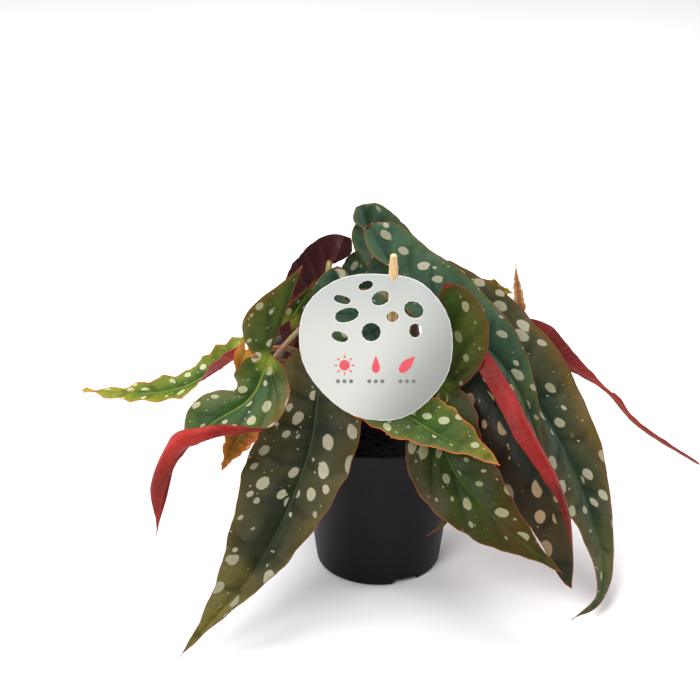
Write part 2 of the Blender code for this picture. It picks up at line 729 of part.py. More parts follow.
def blade_points(plan, rows, cols):
    """The upper side as an array of points, rows from base to tip and columns from the left margin to the right."""
    midrib = Midrib(plan["midrib"], plan["faces"])
    height, wave_length, phase = plan["wave"]
    widest = max(plan["left"]["width"], plan["right"]["width"])
    neck = neck_row(plan, midrib.length)
    halves = []
    for sign, half_plan in ((1, plan["left"]), (-1, plan["right"])):
        along, out = flat_half(half_plan, midrib.length, neck, rows, cols, plan["teeth"])
        point, up, left = midrib.at(along)
        side, rise = bend(half_plan, np.clip(along / midrib.length, 0, 1), np.maximum(out, 0))
        side = np.where(out < 0, out, side)
        ripple = np.sin(2 * np.pi * along / wave_length + phase * sign)
        rise = np.where(out < 0, -out * CROSS_RISE, rise)
        rise = rise + height * (np.abs(out) / widest) ** 2 * ripple
        halves.append(point + left * (side * sign)[..., None] + up * rise[..., None])
    return midrib, np.concatenate([halves[0][:, ::-1], halves[1][:, 1:]], axis=1)


def make_leaf(name, plan, finish):
    rows, cols = plan["rows"], plan["cols"]
    midrib, points = blade_points(plan, rows, cols)
    sheet = bmesh.new()
    bmesh.ops.create_grid(sheet, x_segments=2 * cols, y_segments=rows, size=0.5)
    thin = BLADE_THICKNESS / RIB_THICKNESS
    neck = neck_row(plan, midrib.length)
    weights = {}
    for vertex in sheet.verts:
        col = round((vertex.co.x + 0.5) * 2 * cols)
        row = round((vertex.co.y + 0.5) * rows)
        vertex.co = points[row, col] * MM
        ribbed = col == cols and row >= neck * rows
        weights[vertex.index] = thin + (1 - thin) * (1 - row / rows) * ribbed
    bmesh.ops.triangulate(sheet, faces=sheet.faces)
    mesh = bpy.data.meshes.new(name)
    sheet.to_mesh(mesh)
    sheet.free()
    blade = mesh_object(name, mesh, parts, finish)
    group = blade.vertex_groups.new(name="thickness")
    for index, weight in weights.items():
        group.add([index], weight, "REPLACE")
    solidify = blade.modifiers.new("thickness", "SOLIDIFY")
    solidify.thickness = RIB_THICKNESS * MM
    solidify.offset = -1
    solidify.vertex_group = group.name
    if plan["stalk"]:
        boolean(blade, as_cutter(make_stalk(name, plan["stalk"], midrib)), "UNION", "MANIFOLD")
    smooth(blade, 50)
    return blade


def make_stalk(name, route, midrib):
    cane, height, *through_points = route
    start, out = stalk_seat(cane, height, through_points[0])
    point, up, _ = midrib.at(np.array([STALK_INTO_RIB]))
    end = point[0] - up[0] * RIB_THICKNESS / 2
    run = STALK_RUN * np.linalg.norm(np.asarray(through_points[0]) - start)
    points = [start, start + out * run, *through_points, end]
    return tube(f"stalk_{name}", points, STALK_RADII, STALK_BEVEL, cutters)


def make_leaves():
    green = material("leaf_green", (0.035, 0.07, 0.02), 0.4)
    tan = material("dried_bract", (0.45, 0.28, 0.17), 0.8)
    for name, plan in LEAVES.items():
        make_leaf(name, plan, tan if name == "dried_bract" else green)


# --- Card and stick ---


def card_place():
    across = Vector((1, 0, 0))
    up = Vector((0, math.sin(CARD_LEAN), math.cos(CARD_LEAN)))
    out = across.cross(up)
    turn = Matrix((across, up, out)).transposed().to_4x4()
    return Matrix.Translation(CARD_CENTRE * MM) @ turn


def bezier_loop(curve, points, resolution):
    spline = curve.splines.new("BEZIER")
    spline.bezier_points.add(len(points) - 1)
    for knot, (across, up) in zip(spline.bezier_points, points):
        knot.co = (across * MM, up * MM, 0)
        knot.handle_left_type = "AUTO"
        knot.handle_right_type = "AUTO"
    spline.use_cyclic_u = True
    spline.resolution_u = resolution


def oval(across, up, half_length, half_height, degrees):
    tilt = math.radians(degrees)
    corners = []
    for index in range(4):
        angle = math.pi / 2 * index
        x, y = half_length * math.cos(angle), half_height * math.sin(angle)
        turned_x, turned_y = x * math.cos(tilt) - y * math.sin(tilt), x * math.sin(tilt) + y * math.cos(tilt)
        corners.append((across + turned_x, up + turned_y))
    return corners


def make_card():
    outline = bpy.data.curves.new("card", "CURVE")
    outline.dimensions = "2D"
    outline.fill_mode = "BOTH"
    outline.extrude = CARD_THICKNESS / 2 * MM
    bezier_loop(outline, CARD_EDGE, CARD_EDGE_STEPS)
    for hole in CARD_HOLES:
        bezier_loop(outline, oval(*hole), CARD_HOLE_STEPS)
    plate = bpy.data.objects.new("card", outline)
    parts.objects.link(plate)
    plate.matrix_world = card_place()
    card = to_mesh(plate, weld=0.01)
    card.data.materials.append(material("card_board", (0.75, 0.76, 0.76), 0.5))
    # The tongue of card that goes round behind the stick
    along = (STICK_FOOT - STICK_TOP).normalized()
    loop_top = STICK_TOP + along * LOOP_FROM_TOP
    loop_foot = loop_top + along * LOOP_HEIGHT
    loop_radius = STICK_RADIUS + GAP + LOOP_WALL
    loop = bar("card_loop", loop_radius, HOLE_SIDES, loop_top, loop_foot)
    boolean(card, as_cutter(loop), "UNION")
    # What stands out of the front of the card is cut off flush
    middle = card_place().inverted() @ ((loop_top + loop_foot) / 2 * MM)
    middle.z = (CARD_THICKNESS / 2 + loop_radius) * MM
    front = box("card_front", [2 * loop_radius] * 3, card_place() @ Matrix.Translation(middle))
    boolean(card, as_cutter(front), "DIFFERENCE")
    clearance = bar("stick_clearance", STICK_RADIUS + GAP, HOLE_SIDES, STICK_FOOT, STICK_TOP, LOOP_HEIGHT)
    boolean(card, as_cutter(clearance), "DIFFERENCE")
    return card


def make_stick():
    along = STICK_TOP - STICK_FOOT
    profile = (
        (0, along.length),
        (STICK_TIP_RADIUS - STICK_ROUND, along.length),
        (STICK_TIP_RADIUS, along.length - STICK_ROUND),
        (STICK_RADIUS, along.length - STICK_TAPER),
        (STICK_RADIUS, STICK_ROUND),
        (STICK_RADIUS - STICK_ROUND, 0),
        (0, 0),
    )
    stick = turned("stick", profile, STICK_SIDES, parts, material("stick_wood", (0.66, 0.50, 0.27), 0.6))
    stick.matrix_world = Matrix.Translation(STICK_FOOT * MM) @ along.to_track_quat("Z", "Y").to_matrix().to_4x4()
    smooth(stick)
    return stick


clear_scene()
parts = new_collection("polka_dot_begonia")
cutters = new_collection("cutters")
make_pot()
make_soil()
make_canes()
make_leaves()
make_card()
make_stick()
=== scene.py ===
"""Looks of a potted polka dot begonia: pot, peat, canes, spotted leaves, display card and stick.

The frame's origin is the middle of the pot's foot. -Y is the front and +Z is up. Sizes are written in
millimetres, and MM turns them into Blender's metres.
"""

import math

import bmesh
import bpy
import numpy as np
from mathutils import Matrix, Vector


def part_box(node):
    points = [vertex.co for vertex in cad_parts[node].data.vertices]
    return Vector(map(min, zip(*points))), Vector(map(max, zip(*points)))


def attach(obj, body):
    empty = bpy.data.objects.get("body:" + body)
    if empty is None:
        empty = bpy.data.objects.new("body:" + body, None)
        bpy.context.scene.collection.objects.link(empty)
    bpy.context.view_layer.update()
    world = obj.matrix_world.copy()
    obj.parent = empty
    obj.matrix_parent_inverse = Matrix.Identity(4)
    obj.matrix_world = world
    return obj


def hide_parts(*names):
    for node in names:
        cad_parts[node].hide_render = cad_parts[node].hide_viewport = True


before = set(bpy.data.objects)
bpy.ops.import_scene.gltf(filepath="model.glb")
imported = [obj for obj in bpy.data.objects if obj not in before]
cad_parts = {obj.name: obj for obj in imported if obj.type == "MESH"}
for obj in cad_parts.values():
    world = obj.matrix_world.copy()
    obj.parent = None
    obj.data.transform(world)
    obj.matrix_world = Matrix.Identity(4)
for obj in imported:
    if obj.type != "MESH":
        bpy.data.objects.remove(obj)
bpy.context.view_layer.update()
MM = 0.001


# --- Camera ---
# A long lens a little over a metre away, looking down on the plant from in front of its table.


def put(name, data):
    """A new object in the scene."""
    made = bpy.data.objects.new(name, data)
    bpy.context.scene.collection.objects.link(made)
    return made


camera = put("camera", bpy.data.cameras.new("camera"))
camera.location = (-0.020, -1.1254, 0.7040)
camera.rotation_euler = (math.radians(64.2), 0, 0)
camera.data.lens = 95.3
camera.data.sensor_width = 36
bpy.context.scene.camera = camera


# --- Pot ---
# A thin nursery pot of recycled plastic, moulded in one piece with its collar, rim and raised floor. The
# plastic is a matte purple black with a fine grain, a little dusty and scuffed from standing among others.

POT_STEPS = 192
POT_PROFILE = (  # radius and height, from inside the floor up the wall, over the rim and down to the foot
    (0.05, 6.6), (39.0, 6.6), (41.0, 7.4), (42.0, 9.2), (54.2, 87.0), (54.7, 89.0), (55.0, 90.2),
    (57.7, 109.0), (58.8, 110.0), (59.5, 110.0), (59.8, 109.9), (60.0, 109.6), (60.0, 108.4), (59.6, 107.8),
    (58.8, 107.4), (58.7, 107.2), (56.0, 89.4), (55.8, 89.0), (54.5, 88.5), (54.3, 88.2), (54.1, 87.6),
    (43.6, 3.0), (43.2, 1.0), (42.6, 0.2), (42.0, 0.0), (40.0, 0.0), (39.6, 1.0), (39.3, 4.6), (38.9, 5.0),
    (9.8, 5.0), (9.1, 4.0), (9.0, 0.0), (0.05, 0.0),
)
NOTCH_DEPTH, NOTCH_WIDTH, NOTCH_HEIGHT = 14.0, 19.0, 4.4
NOTCH_RADIUS = 43.0
NOTCH_ANGLES = (-65, 55, 175)
DRAIN_RING = 27.0
DRAIN_RADIUS = 3.5
DRAIN_LENGTH = 10.0
DRAIN_SIDES = 32
DRAIN_ANGLES = range(0, 360, 60)
POT_SHARP = math.radians(50)  # an edge sharper than this shows as one


def paint(red, green, blue):
    """A colour as a screen shows it, each part from 0 to 255."""
    return tuple((part / 255) ** 2.2 for part in (red, green, blue)) + (1.0,)


def add(kind, inputs, **settings):
    """A new shader node in the tree of its inputs, which are outputs of other nodes or plain values."""
    tree = next(value.id_data for value in inputs.values() if isinstance(value, bpy.types.NodeSocket))
    made = tree.nodes.new("ShaderNode" + kind)
    for key, value in settings.items():
        setattr(made, key, value)
    for key, value in inputs.items():
        if isinstance(value, bpy.types.NodeSocket):
            tree.links.new(value, made.inputs[key])
        else:
            made.inputs[key].default_value = value
    return made


def mixed(share, first, second, blend_type="MIX"):
    inputs = {0: share, 6: first, 7: second}
    return add("Mix", inputs, data_type="RGBA", blend_type=blend_type).outputs[2]


def ramp(value, start, end, low=0.0, high=1.0):
    """Goes smoothly from low to high as value goes from start to end."""
    inputs = {0: value, 1: start, 2: end, 3: low, 4: high}
    return add("MapRange", inputs, interpolation_type="SMOOTHSTEP").outputs[0]


def maths(operation):
    """A function that adds a Math node for one operation."""
    return lambda *values: add("Math", dict(enumerate(values)), operation=operation).outputs[0]


plus, less, times, over = map(maths, ("ADD", "SUBTRACT", "MULTIPLY", "DIVIDE"))


def noise(place, scale, detail=3.0, roughness=0.5):
    inputs = {"Vector": place, "Scale": scale, "Detail": detail, "Roughness": roughness}
    return add("TexNoise", inputs).outputs["Fac"]


def new_group(name, colours, numbers=()):
    """A node group with named inputs, the values given to it, and the place on the surface."""
    group = bpy.data.node_groups.new(name, "ShaderNodeTree")
    for names, kind in ((colours, "NodeSocketColor"), (numbers, "NodeSocketFloat")):
        for socket in names:
            group.interface.new_socket(socket, in_out="INPUT", socket_type=kind)
    place = group.nodes.new("ShaderNodeTexCoord").outputs["Object"]
    return group, group.nodes.new("NodeGroupInput").outputs, place


def give(tree, **outputs):
    """Ends a node group with its named outputs."""
    for name in outputs:
        kind = "NodeSocketColor" if name == "Colour" else "NodeSocketFloat"
        tree.interface.new_socket(name, in_out="OUTPUT", socket_type=kind)
    end = tree.nodes.new("NodeGroupOutput")
    for name, socket in outputs.items():
        tree.links.new(socket, end.inputs[name])
    return tree


def make_mottle():
    """Two tones in soft patches with fine specks of a third, and the height of the specks."""
    numbers = ("Patches per metre", "Specks per metre", "Speck share")
    tree, given, place = new_group("mottle", ("Main", "Patch", "Speck"), numbers)
    patches = noise(place, given["Patches per metre"])
    tone = mixed(ramp(patches, 0.38, 0.62), given["Main"], given["Patch"])
    grain = noise(place, given["Specks per metre"], 4.0, 0.6)
    start = less(0.75, times(given["Speck share"], 0.3))
    specks = ramp(grain, start, plus(start, 0.08))
    return give(tree, Colour=mixed(specks, tone, given["Speck"]), Height=plus(specks, grain))


mottle = make_mottle()


def new_finish(name, group, values, bump, roughness=0.5, **sockets):
    """A material whose colour and height come from a node group. bump is the height's size in metres."""
    finish = bpy.data.materials.new(name)
    finish.use_nodes = True
    tree = finish.node_tree
    shader = tree.nodes["Principled BSDF"]
    pattern = tree.nodes.new("ShaderNodeGroup")
    pattern.node_tree = group
    for key, value in values.items():
        pattern.inputs[key].default_value = value
    tree.links.new(pattern.outputs["Colour"], shader.inputs["Base Color"])
    height = add("Bump", {"Height": pattern.outputs["Height"], "Distance": bump})
    tree.links.new(height.outputs["Normal"], shader.inputs["Normal"])
    if "Roughness" in pattern.outputs:
        tree.links.new(pattern.outputs["Roughness"], shader.inputs["Roughness"])
    else:
        shader.inputs["Roughness"].default_value = roughness
    for key, value in sockets.items():
        shader.inputs[key.replace("_", " ")].default_value = value
    return finish


def mottled(name, main, patch, speck, patches, specks, bump, roughness=0.5, share=0.2, **sockets):
    values = {"Main": paint(*main), "Patch": paint(*patch), "Speck": paint(*speck)}
    values |= {"Patches per metre": patches, "Specks per metre": specks, "Speck share": share}
    return new_finish(name, mottle, values, bump, roughness, **sockets)


def on_plant(piece):
    """The piece rides on the plant's one body."""
    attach(piece, "root")
    return piece


def new_piece(name, points, faces, finishes, face_finish=None):
    """A piece of the object from points in millimetres."""
    mesh = bpy.data.meshes.new(name)
    mesh.from_pydata((np.asarray(points) * MM).tolist(), [], [list(face) for face in faces])
    for finish in finishes:
        mesh.materials.append(finish)
    if face_finish is not None:
        mesh.polygons.foreach_set("material_index", face_finish)
    mesh.shade_smooth()
    mesh.update()
    return on_plant(put(name, mesh))


def quads(rows, cols, closed=False):
    """Faces of a grid of rows by cols points. closed joins the last column to the first."""
    row, col = np.meshgrid(np.arange(rows - 1), np.arange(cols if closed else cols - 1), indexing="ij")
    after = (col + 1) % cols
    corners = (row * cols + col, row * cols + after, (row + 1) * cols + after, (row + 1) * cols + col)
    return np.stack(corners, -1).reshape(-1, 4)


def final_mesh(made):
    """An object's mesh with its modifiers applied or its curve filled."""
    bpy.context.view_layer.update()
    return bpy.data.meshes.new_from_object(made.evaluated_get(bpy.context.evaluated_depsgraph_get()))


def cut(piece, cutter):
    """Takes the cutter's shape out of a piece for good."""
    modifier = piece.modifiers.new("cut", "BOOLEAN")
    modifier.operation = "DIFFERENCE"
    modifier.object = cutter
    mesh = final_mesh(piece)
    piece.modifiers.clear()
    piece.data = mesh
    bpy.data.objects.remove(cutter, do_unlink=True)


def round_axis(degrees, radius, height):
    """A place in the pot, turned to face away from its middle."""
    return Matrix.Rotation(math.radians(degrees), 4, "Z") @ Matrix.Translation((radius * MM, 0, height * MM))


def full_turn(steps):
    """Angles of even steps round a full turn."""
    return np.linspace(0, 2 * math.pi, steps, endpoint=False)


def make_pot(plastic):
    turn = full_turn(POT_STEPS)
    radius, height = np.array(POT_PROFILE).T[..., None]
    points = np.stack([radius * np.cos(turn), radius * np.sin(turn), height + 0 * turn], -1)
    sides = quads(len(POT_PROFILE), POT_STEPS, closed=True)
    ends = [range(POT_STEPS - 1, -1, -1), range(sides.max() + 1 - POT_STEPS, sides.max() + 1)]
    pot = new_piece("moulded_pot", points.reshape(-1, 3), [*sides, *ends], [plastic])
    knife = bmesh.new()
    size = Matrix.Diagonal((NOTCH_DEPTH * MM, NOTCH_WIDTH * MM, 2 * NOTCH_HEIGHT * MM, 1))
    for degrees in NOTCH_ANGLES:
        bmesh.ops.create_cube(knife, size=1, matrix=round_axis(degrees, NOTCH_RADIUS, 0) @ size)
    radius = DRAIN_RADIUS * MM
    drain = dict(cap_ends=True, segments=DRAIN_SIDES, radius1=radius, radius2=radius, depth=DRAIN_LENGTH * MM)
    for degrees in DRAIN_ANGLES:
        bmesh.ops.create_cone(knife, matrix=round_axis(degrees, DRAIN_RING, DRAIN_LENGTH / 2), **drain)
    cutter = put("pot_knife", bpy.data.meshes.new("pot_knife"))
    knife.to_mesh(cutter.data)
    knife.free()
    cut(pot, cutter)
    pot.data.set_sharp_from_angle(angle=POT_SHARP)
    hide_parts("pot")


def refinish(node, finish):
    """Gives a node of the frame its finish."""
    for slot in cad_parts[node].material_slots:
        slot.material = finish


make_pot(mottled(
    "pot_plastic", (15, 12, 18), (20, 17, 24), (38, 36, 42),
    patches=30, specks=2600, bump=0.00005, Specular_IOR_Level=0.15,
))


# --- Peat ---
# Dark peat compost, pressed loosely into the pot and crumbly on top. Crumbs and bits of fibre lie on it,
# and a few have fallen on the rim at the front.

PEAT_RADIUS = 57.0
PEAT_START = 0.02  # of its radius, where its innermost ring lies
PEAT_RINGS, PEAT_STEPS = 60, 180
PEAT_EDGE_HEIGHT = 105.6
PEAT_CROWN = 5.2
PEAT_ROUGHNESS = 1.3
PEAT_DEPTH = 4.0  # of its loose top
CRUMBS = 620
CRUMB_SEED = 7
CRUMB_SIZES = (0.7, 2.4)
CRUMB_STRETCH = (0.5, 1.2)
CRUMB_ROUGHNESS = 0.25
CRUMB_LIFT = 0.3  # of its size, above the peat
ANY_TURN = 6.3  # radians, a full turn and a little more
FALLEN = CRUMBS // 12  # those on the rim
FALLEN_SIZE = 0.55
FALLEN_TURN = (-2.3, -0.8)
RIM_RING = (56.5, 59.4)
RIM_TOP = 110.2


def peat_height(x, y):
    """The lumpy top of the peat: crossed waves for its lumps, and shorter ones for its crumbs."""
    share = np.hypot(x, y) / PEAT_RADIUS
    lumps = np.sin(x / 3.1 + 1.7 * np.sin(y / 4.3)) * np.sin(y / 2.7 + 1.3 * np.sin(x / 5.1))
    fine = np.sin(x * 1.9 + 2 * np.sin(y * 1.3)) * np.sin(y * 2.3 + x)
    return PEAT_EDGE_HEIGHT + PEAT_CROWN * (1 - share**2) + PEAT_ROUGHNESS * (lumps + 0.3 * fine)


def make_peat():
    ring = np.linspace(PEAT_START, 1, PEAT_RINGS)[:, None] * PEAT_RADIUS
    turn = full_turn(PEAT_STEPS)[None, :]
    x, y = ring * np.cos(turn), ring * np.sin(turn)
    top = np.stack([x, y, peat_height(x, y)], -1)
    foot = top * (1, 1, 0) + (0, 0, PEAT_EDGE_HEIGHT - PEAT_DEPTH)
    layers = np.concatenate([foot[:1], top, foot[-1:]])
    faces = quads(len(layers), layers.shape[1], closed=True)
    peat = mottled(
        "peat", (11, 8, 9), (17, 13, 12), (38, 31, 25),
        patches=160, specks=900, share=0.25, bump=0.0006, roughness=0.95, Specular_IOR_Level=0.1,
    )
    new_piece("peat_top", layers.reshape(-1, 3), faces, [peat])
    refinish("soil", peat)
    return peat


def make_crumbs(peat):
    chance = np.random.default_rng(CRUMB_SEED)
    lump = bmesh.new()
    bmesh.ops.create_icosphere(lump, subdivisions=1, radius=1)
    shape = np.array([vertex.co for vertex in lump.verts])
    sides = np.array([[vertex.index for vertex in face.verts] for face in lump.faces])
    lump.free()
    points, faces = [], []
    for index in range(CRUMBS):
        fallen = index < FALLEN
        turn = chance.uniform(*FALLEN_TURN) if fallen else chance.uniform(0, 2 * math.pi)
        ring = chance.uniform(*RIM_RING) if fallen else PEAT_RADIUS * math.sqrt(chance.uniform(0, 0.98))
        x, y = ring * math.cos(turn), ring * math.sin(turn)
        size = chance.uniform(*CRUMB_SIZES) * (FALLEN_SIZE if fallen else 1)
        stretch = size * chance.uniform(*CRUMB_STRETCH, 3)
        rough = 1 + CRUMB_ROUGHNESS * chance.standard_normal((len(shape), 1))
        spin = np.array(Matrix.Rotation(chance.uniform(0, ANY_TURN), 3, chance.standard_normal(3)))
        height = RIM_TOP if fallen else peat_height(x, y)
        points.append((shape * rough * stretch) @ spin.T + (x, y, height + CRUMB_LIFT * size))
        faces.append(sides + index * len(shape))
    new_piece("peat_crumbs", np.concatenate(points), np.concatenate(faces), [peat])


make_crumbs(make_peat())


# --- Canes ---
# Upright jointed stems, thick as a pencil. Each joint is a swollen ring with the scar of a fallen stipule,
# and the olive bark between them is speckled with pale breathing pores.

CANE_RADII = (4.5, 3.4)
CANE_JOINT = 24.0  # from one ring to the next
CANE_WAIST, JOINT_SWELL = 0.95, 0.13  # of its radius, between the rings and added at them
JOINT_REACH = 1.3
CANE_SAMPLES = 40
CANE_SIDES = 24
OFF_LINE = (0.31, 0.95, 0.05)  # a direction in which no bar starts
CANES = {
    "left": ((-14, -2, 70), (-16, -1, 98), (-24, 4, 130), (-30, 8, 165), (-34, 14, 205)),
    "right": ((14, 4, 70), (16, 5, 98), (21, 10, 130), (24, 16, 160), (22, 20, 182)),
    "back": ((0, 18, 70), (0, 24, 98), (-2, 44, 140), (-4, 58, 170), (-4, 63, 182)),
    "side": ((26, 18, 70), (32, 24, 98), (50, 38, 124), (70, 51, 142), (86, 56, 149)),
}


def through(points, samples):
    """Points of a smooth curve through the given ones (Catmull-Rom)."""
    given = np.asarray([tuple(point) for point in points], float)
    ends = np.vstack([2 * given[0] - given[1], given, 2 * given[-1] - given[-2]])
    t = np.linspace(0, 1, samples, endpoint=False)[:, None]
    pieces = []
    for before, start, end, after in zip(ends, ends[1:], ends[2:], ends[3:]):
        bend = 2 * before - 5 * start + 4 * end - after
        twist = 3 * start - before - 3 * end + after
        pieces.append(start + 0.5 * (end - before) * t + 0.5 * bend * t**2 + 0.5 * twist * t**3)
    return np.vstack([*pieces, given[-1:]])


def unit(vectors):
    return vectors / np.linalg.norm(vectors, axis=-1)[..., None]


def hump(distance, reach):
    """1 at no distance, falling smoothly to almost nothing at twice the reach."""
    return np.exp(-((distance / reach) ** 2))


def run_along(line):
    """How far each point of a line is from its start."""
    return np.concatenate([[0], np.cumsum(np.linalg.norm(np.diff(line, axis=0), axis=1))])


def round_bar(line, radii, sides):
    """Points and faces of a closed bar round a line of points."""
    forward = unit(np.gradient(line, axis=0))
    side = np.cross(forward[0], OFF_LINE)
    turn = full_turn(sides)[:, None]
    rings = [np.repeat(line[:1], sides, axis=0)]
    for place, ahead, radius in zip(line, forward, radii):
        side = unit(side - (side @ ahead) * ahead)
        rings.append(place + radius * (np.cos(turn) * side + np.sin(turn) * np.cross(ahead, side)))
    rings.append(np.repeat(line[-1:], sides, axis=0))
    return np.concatenate(rings), quads(len(rings), sides, closed=True)


def make_cane(name, points, bark):
    line = through(points, CANE_SAMPLES)
    run = run_along(line)
    ring = hump((run + CANE_JOINT / 2) % CANE_JOINT - CANE_JOINT / 2, JOINT_REACH)
    radii = np.interp(run, (0, run[-1]), CANE_RADII) * (CANE_WAIST + JOINT_SWELL * ring)
    points, faces = round_bar(line, radii, CANE_SIDES)
    cane = new_piece(f"{name}_cane_bark", points, faces, [bark])
    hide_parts(f"cane_{name}")


cane_bark = mottled(
    "cane_bark", (74, 66, 36), (92, 58, 38), (150, 130, 92), patches=60, specks=700, share=0.35, bump=0.0002
)
for cane_name, cane_points in CANES.items():
    make_cane(cane_name, cane_points, cane_bark)


# --- Leaves ---
# Each leaf is a lopsided wing: a thin blade, swollen between its side veins, with a large and a small lobe
# behind its stalk. It is olive to bottle green above with silver grey spots, red below, and edged with a fine
# rusty line. The round fleshy stalk grows from a cane and ends in the midrib.

BLADE_THICKNESS = 0.6
RIB_THICKNESS = 2.2
TIP_HALF_WIDTH = 0.25
MIDRIB_SAMPLES = 40  # between two points of a midrib
BLADE_COLS = 20
COL_SPREAD = 1.35
ROWS_PER_VEIN = 12
ARC_STEPS = 24
VEIN_SWEEP = 1.6
VEIN_BOW = 0.03
VEIN_RIDGE, VEIN_REACH, VEIN_FADE = 0.35, 0.9, 8.0
EAR_ROOT, EAR_SPREAD, EAR_SWEEP = -6.0, 4.0, 1.3
MARGIN_SPREAD = 1.35
MARGIN_THINNING = 0.55  # of the blade's thickness, lost over the next distance
MARGIN_REACH = 6.0
MARGIN_WAVES = (9, 14, 23, 37)  # waves along the margin, the more of them the lower
MARGIN_WAVE = 0.8
TEETH_SPAN = (0.05, 0.98)  # the part of the margin that has teeth
SINUS = 0.01
NECK, NECK_REACH = 2.0, 0.05
TAIL_TAPER = 0.3
CROSS_START, CROSS_BEND, CROSS_FADE = 0.2, 0.85, 6
CROSS_RISE = 0.3
SWELL_START, SWELL_FADE = 0.3, 0.6
RIB_DENT, RIB_DENT_REACH = 0.7, 1.6
RIB_REACH = 1.3
BLADE_SHARP = math.radians(60)
STALK_RADII = (2.5, 1.7)
STALK_SIDES = 14
STALK_SEAT = 0.75  # from the cane's skin to the end of a stalk
STALK_RUN = 0.35  # of the way to the next point, straight out of the cane
STALK_INTO_RIB = 3.0
STALK_SAMPLES, SEAT_SAMPLES = 12, 3
SPOT_TILT = math.radians(24)
SPOT_SCATTER = 0.74
SPOT_SHAKE = 0.14
SPOT_SHIFT = 60  # cells, so that no two leaves have the same spots
SPECK_CELLS = 3.7  # specks to a spot, each way
CLOUDS, FLECKS, GRAIN = 26, 210, 900  # to a metre of the upper side
BACK_CLOUDS, BACK_NET, BACK_GRAIN = 30, 260, 500


def half(width, lobe=8, **others):
    """One half of a blade: width out from the midrib and the tail's least width, lobe behind the stalk, cross
    over the midrib's line, fold at the midrib and curl of each 10 mm outwards in degrees from base to tip.
    ear (width, widest, roundness) is a lobe that a neck parts from the blade, bite (place, depth, reach) a
    dent in the margin, and roll (starts, radius, angle) a rolled margin."""
    usual = dict(widest=0.6, round_base=0.6, taper=1.5, tail=TIP_HALF_WIDTH, cross=0, ear=None, bite=None)
    return usual | dict(fold=(8, 12, 5), curl=(-4, -6, 0), roll=None, width=width, lobe=lobe) | others


def between(where, known, rows):
    """The points or directions at where, from the rows of them at known places."""
    return np.stack([np.interp(where, known, row) for row in rows.T], -1)


class Midrib:
    """The midrib as a smooth line, with the directions along it, up from the blade and to its left."""

    def __init__(self, points, faces):
        self.line = through(points, MIDRIB_SAMPLES)
        run = run_along(self.line)
        self.along = run - run[MIDRIB_SAMPLES]  # 0 where the stalk joins
        self.length = self.along[-1]
        self.forward = unit(np.gradient(self.line, self.along, axis=0))
        given = np.asarray(faces, float)
        place = np.clip(self.along / self.length, 0, 1) * (len(given) - 1)
        index = np.minimum(place.astype(int), len(given) - 2)
        share = (place - index)[:, None]
        share = share * share * (3 - 2 * share)
        up = given[index] * (1 - share) + given[index + 1] * share
        self.up = unit(up - (up * self.forward).sum(1, keepdims=True) * self.forward)
        self.left = np.cross(self.up, self.forward)

    def at(self, along):
        """Point, up and left at distances along the midrib. Past its ends it runs on straight."""
        rows = (self.line, self.forward, self.up, self.left)
        point, forward, up, left = (between(along, self.along, row) for row in rows)
        past = along - np.clip(along, self.along[0], self.length)
        return point + forward * past[..., None], up, left


def margin_width(plan, length, t):
    """How far the margin is from the midrib, as t goes from the lobe's end to the tip."""
    begin = 0 if plan["cross"] else SINUS
    neck = plan["lobe"] / (length + plan["lobe"]) if plan["ear"] else 0
    blade = np.clip((t - neck) / (1 - neck), 0, 1)
    power = plan["round_base"] + (plan["taper"] - plan["round_base"]) * blade
    width = plan["width"] * np.sin(np.pi * (begin + (1 - begin) * blade) ** plan["widest"]) ** power
    if plan["bite"]:
        place, depth, reach = plan["bite"]
        width = width - depth * hump(blade - place, reach)
    if plan["ear"]:
        ear_width, ear_widest, roundness = plan["ear"]
        ear = ear_width * np.sin(np.pi * np.clip(t / neck, 0, 1) ** ear_widest) ** roundness
        width = np.where(t < neck, ear, width)
        width = np.where(np.abs(t - neck) < NECK_REACH, np.maximum(width, NECK), width)
    return np.maximum(width, np.where(t > 0.5, plan["tail"] * (1 - t) ** TAIL_TAPER + TIP_HALF_WIDTH, 0))


def neck_row(plan, length):
    """The row at which a half's ear ends, or 0 if it has none."""
    return (plan["lobe"] / (length + plan["lobe"])) ** (1 / MARGIN_SPREAD) if plan["ear"] else 0


def rib_run(row, length, neck):
    """Where each row leaves the midrib. The rows of an ear all leave it just behind the stalk."""
    if neck == 0:
        return length * row**VEIN_SWEEP
    ear = np.clip(row / neck, 0, 1)
    blade = np.clip((row - neck) / (1 - neck), 0, 1)
    return EAR_ROOT + EAR_SPREAD * ear + (length - EAR_ROOT - EAR_SPREAD) * blade**EAR_SWEEP


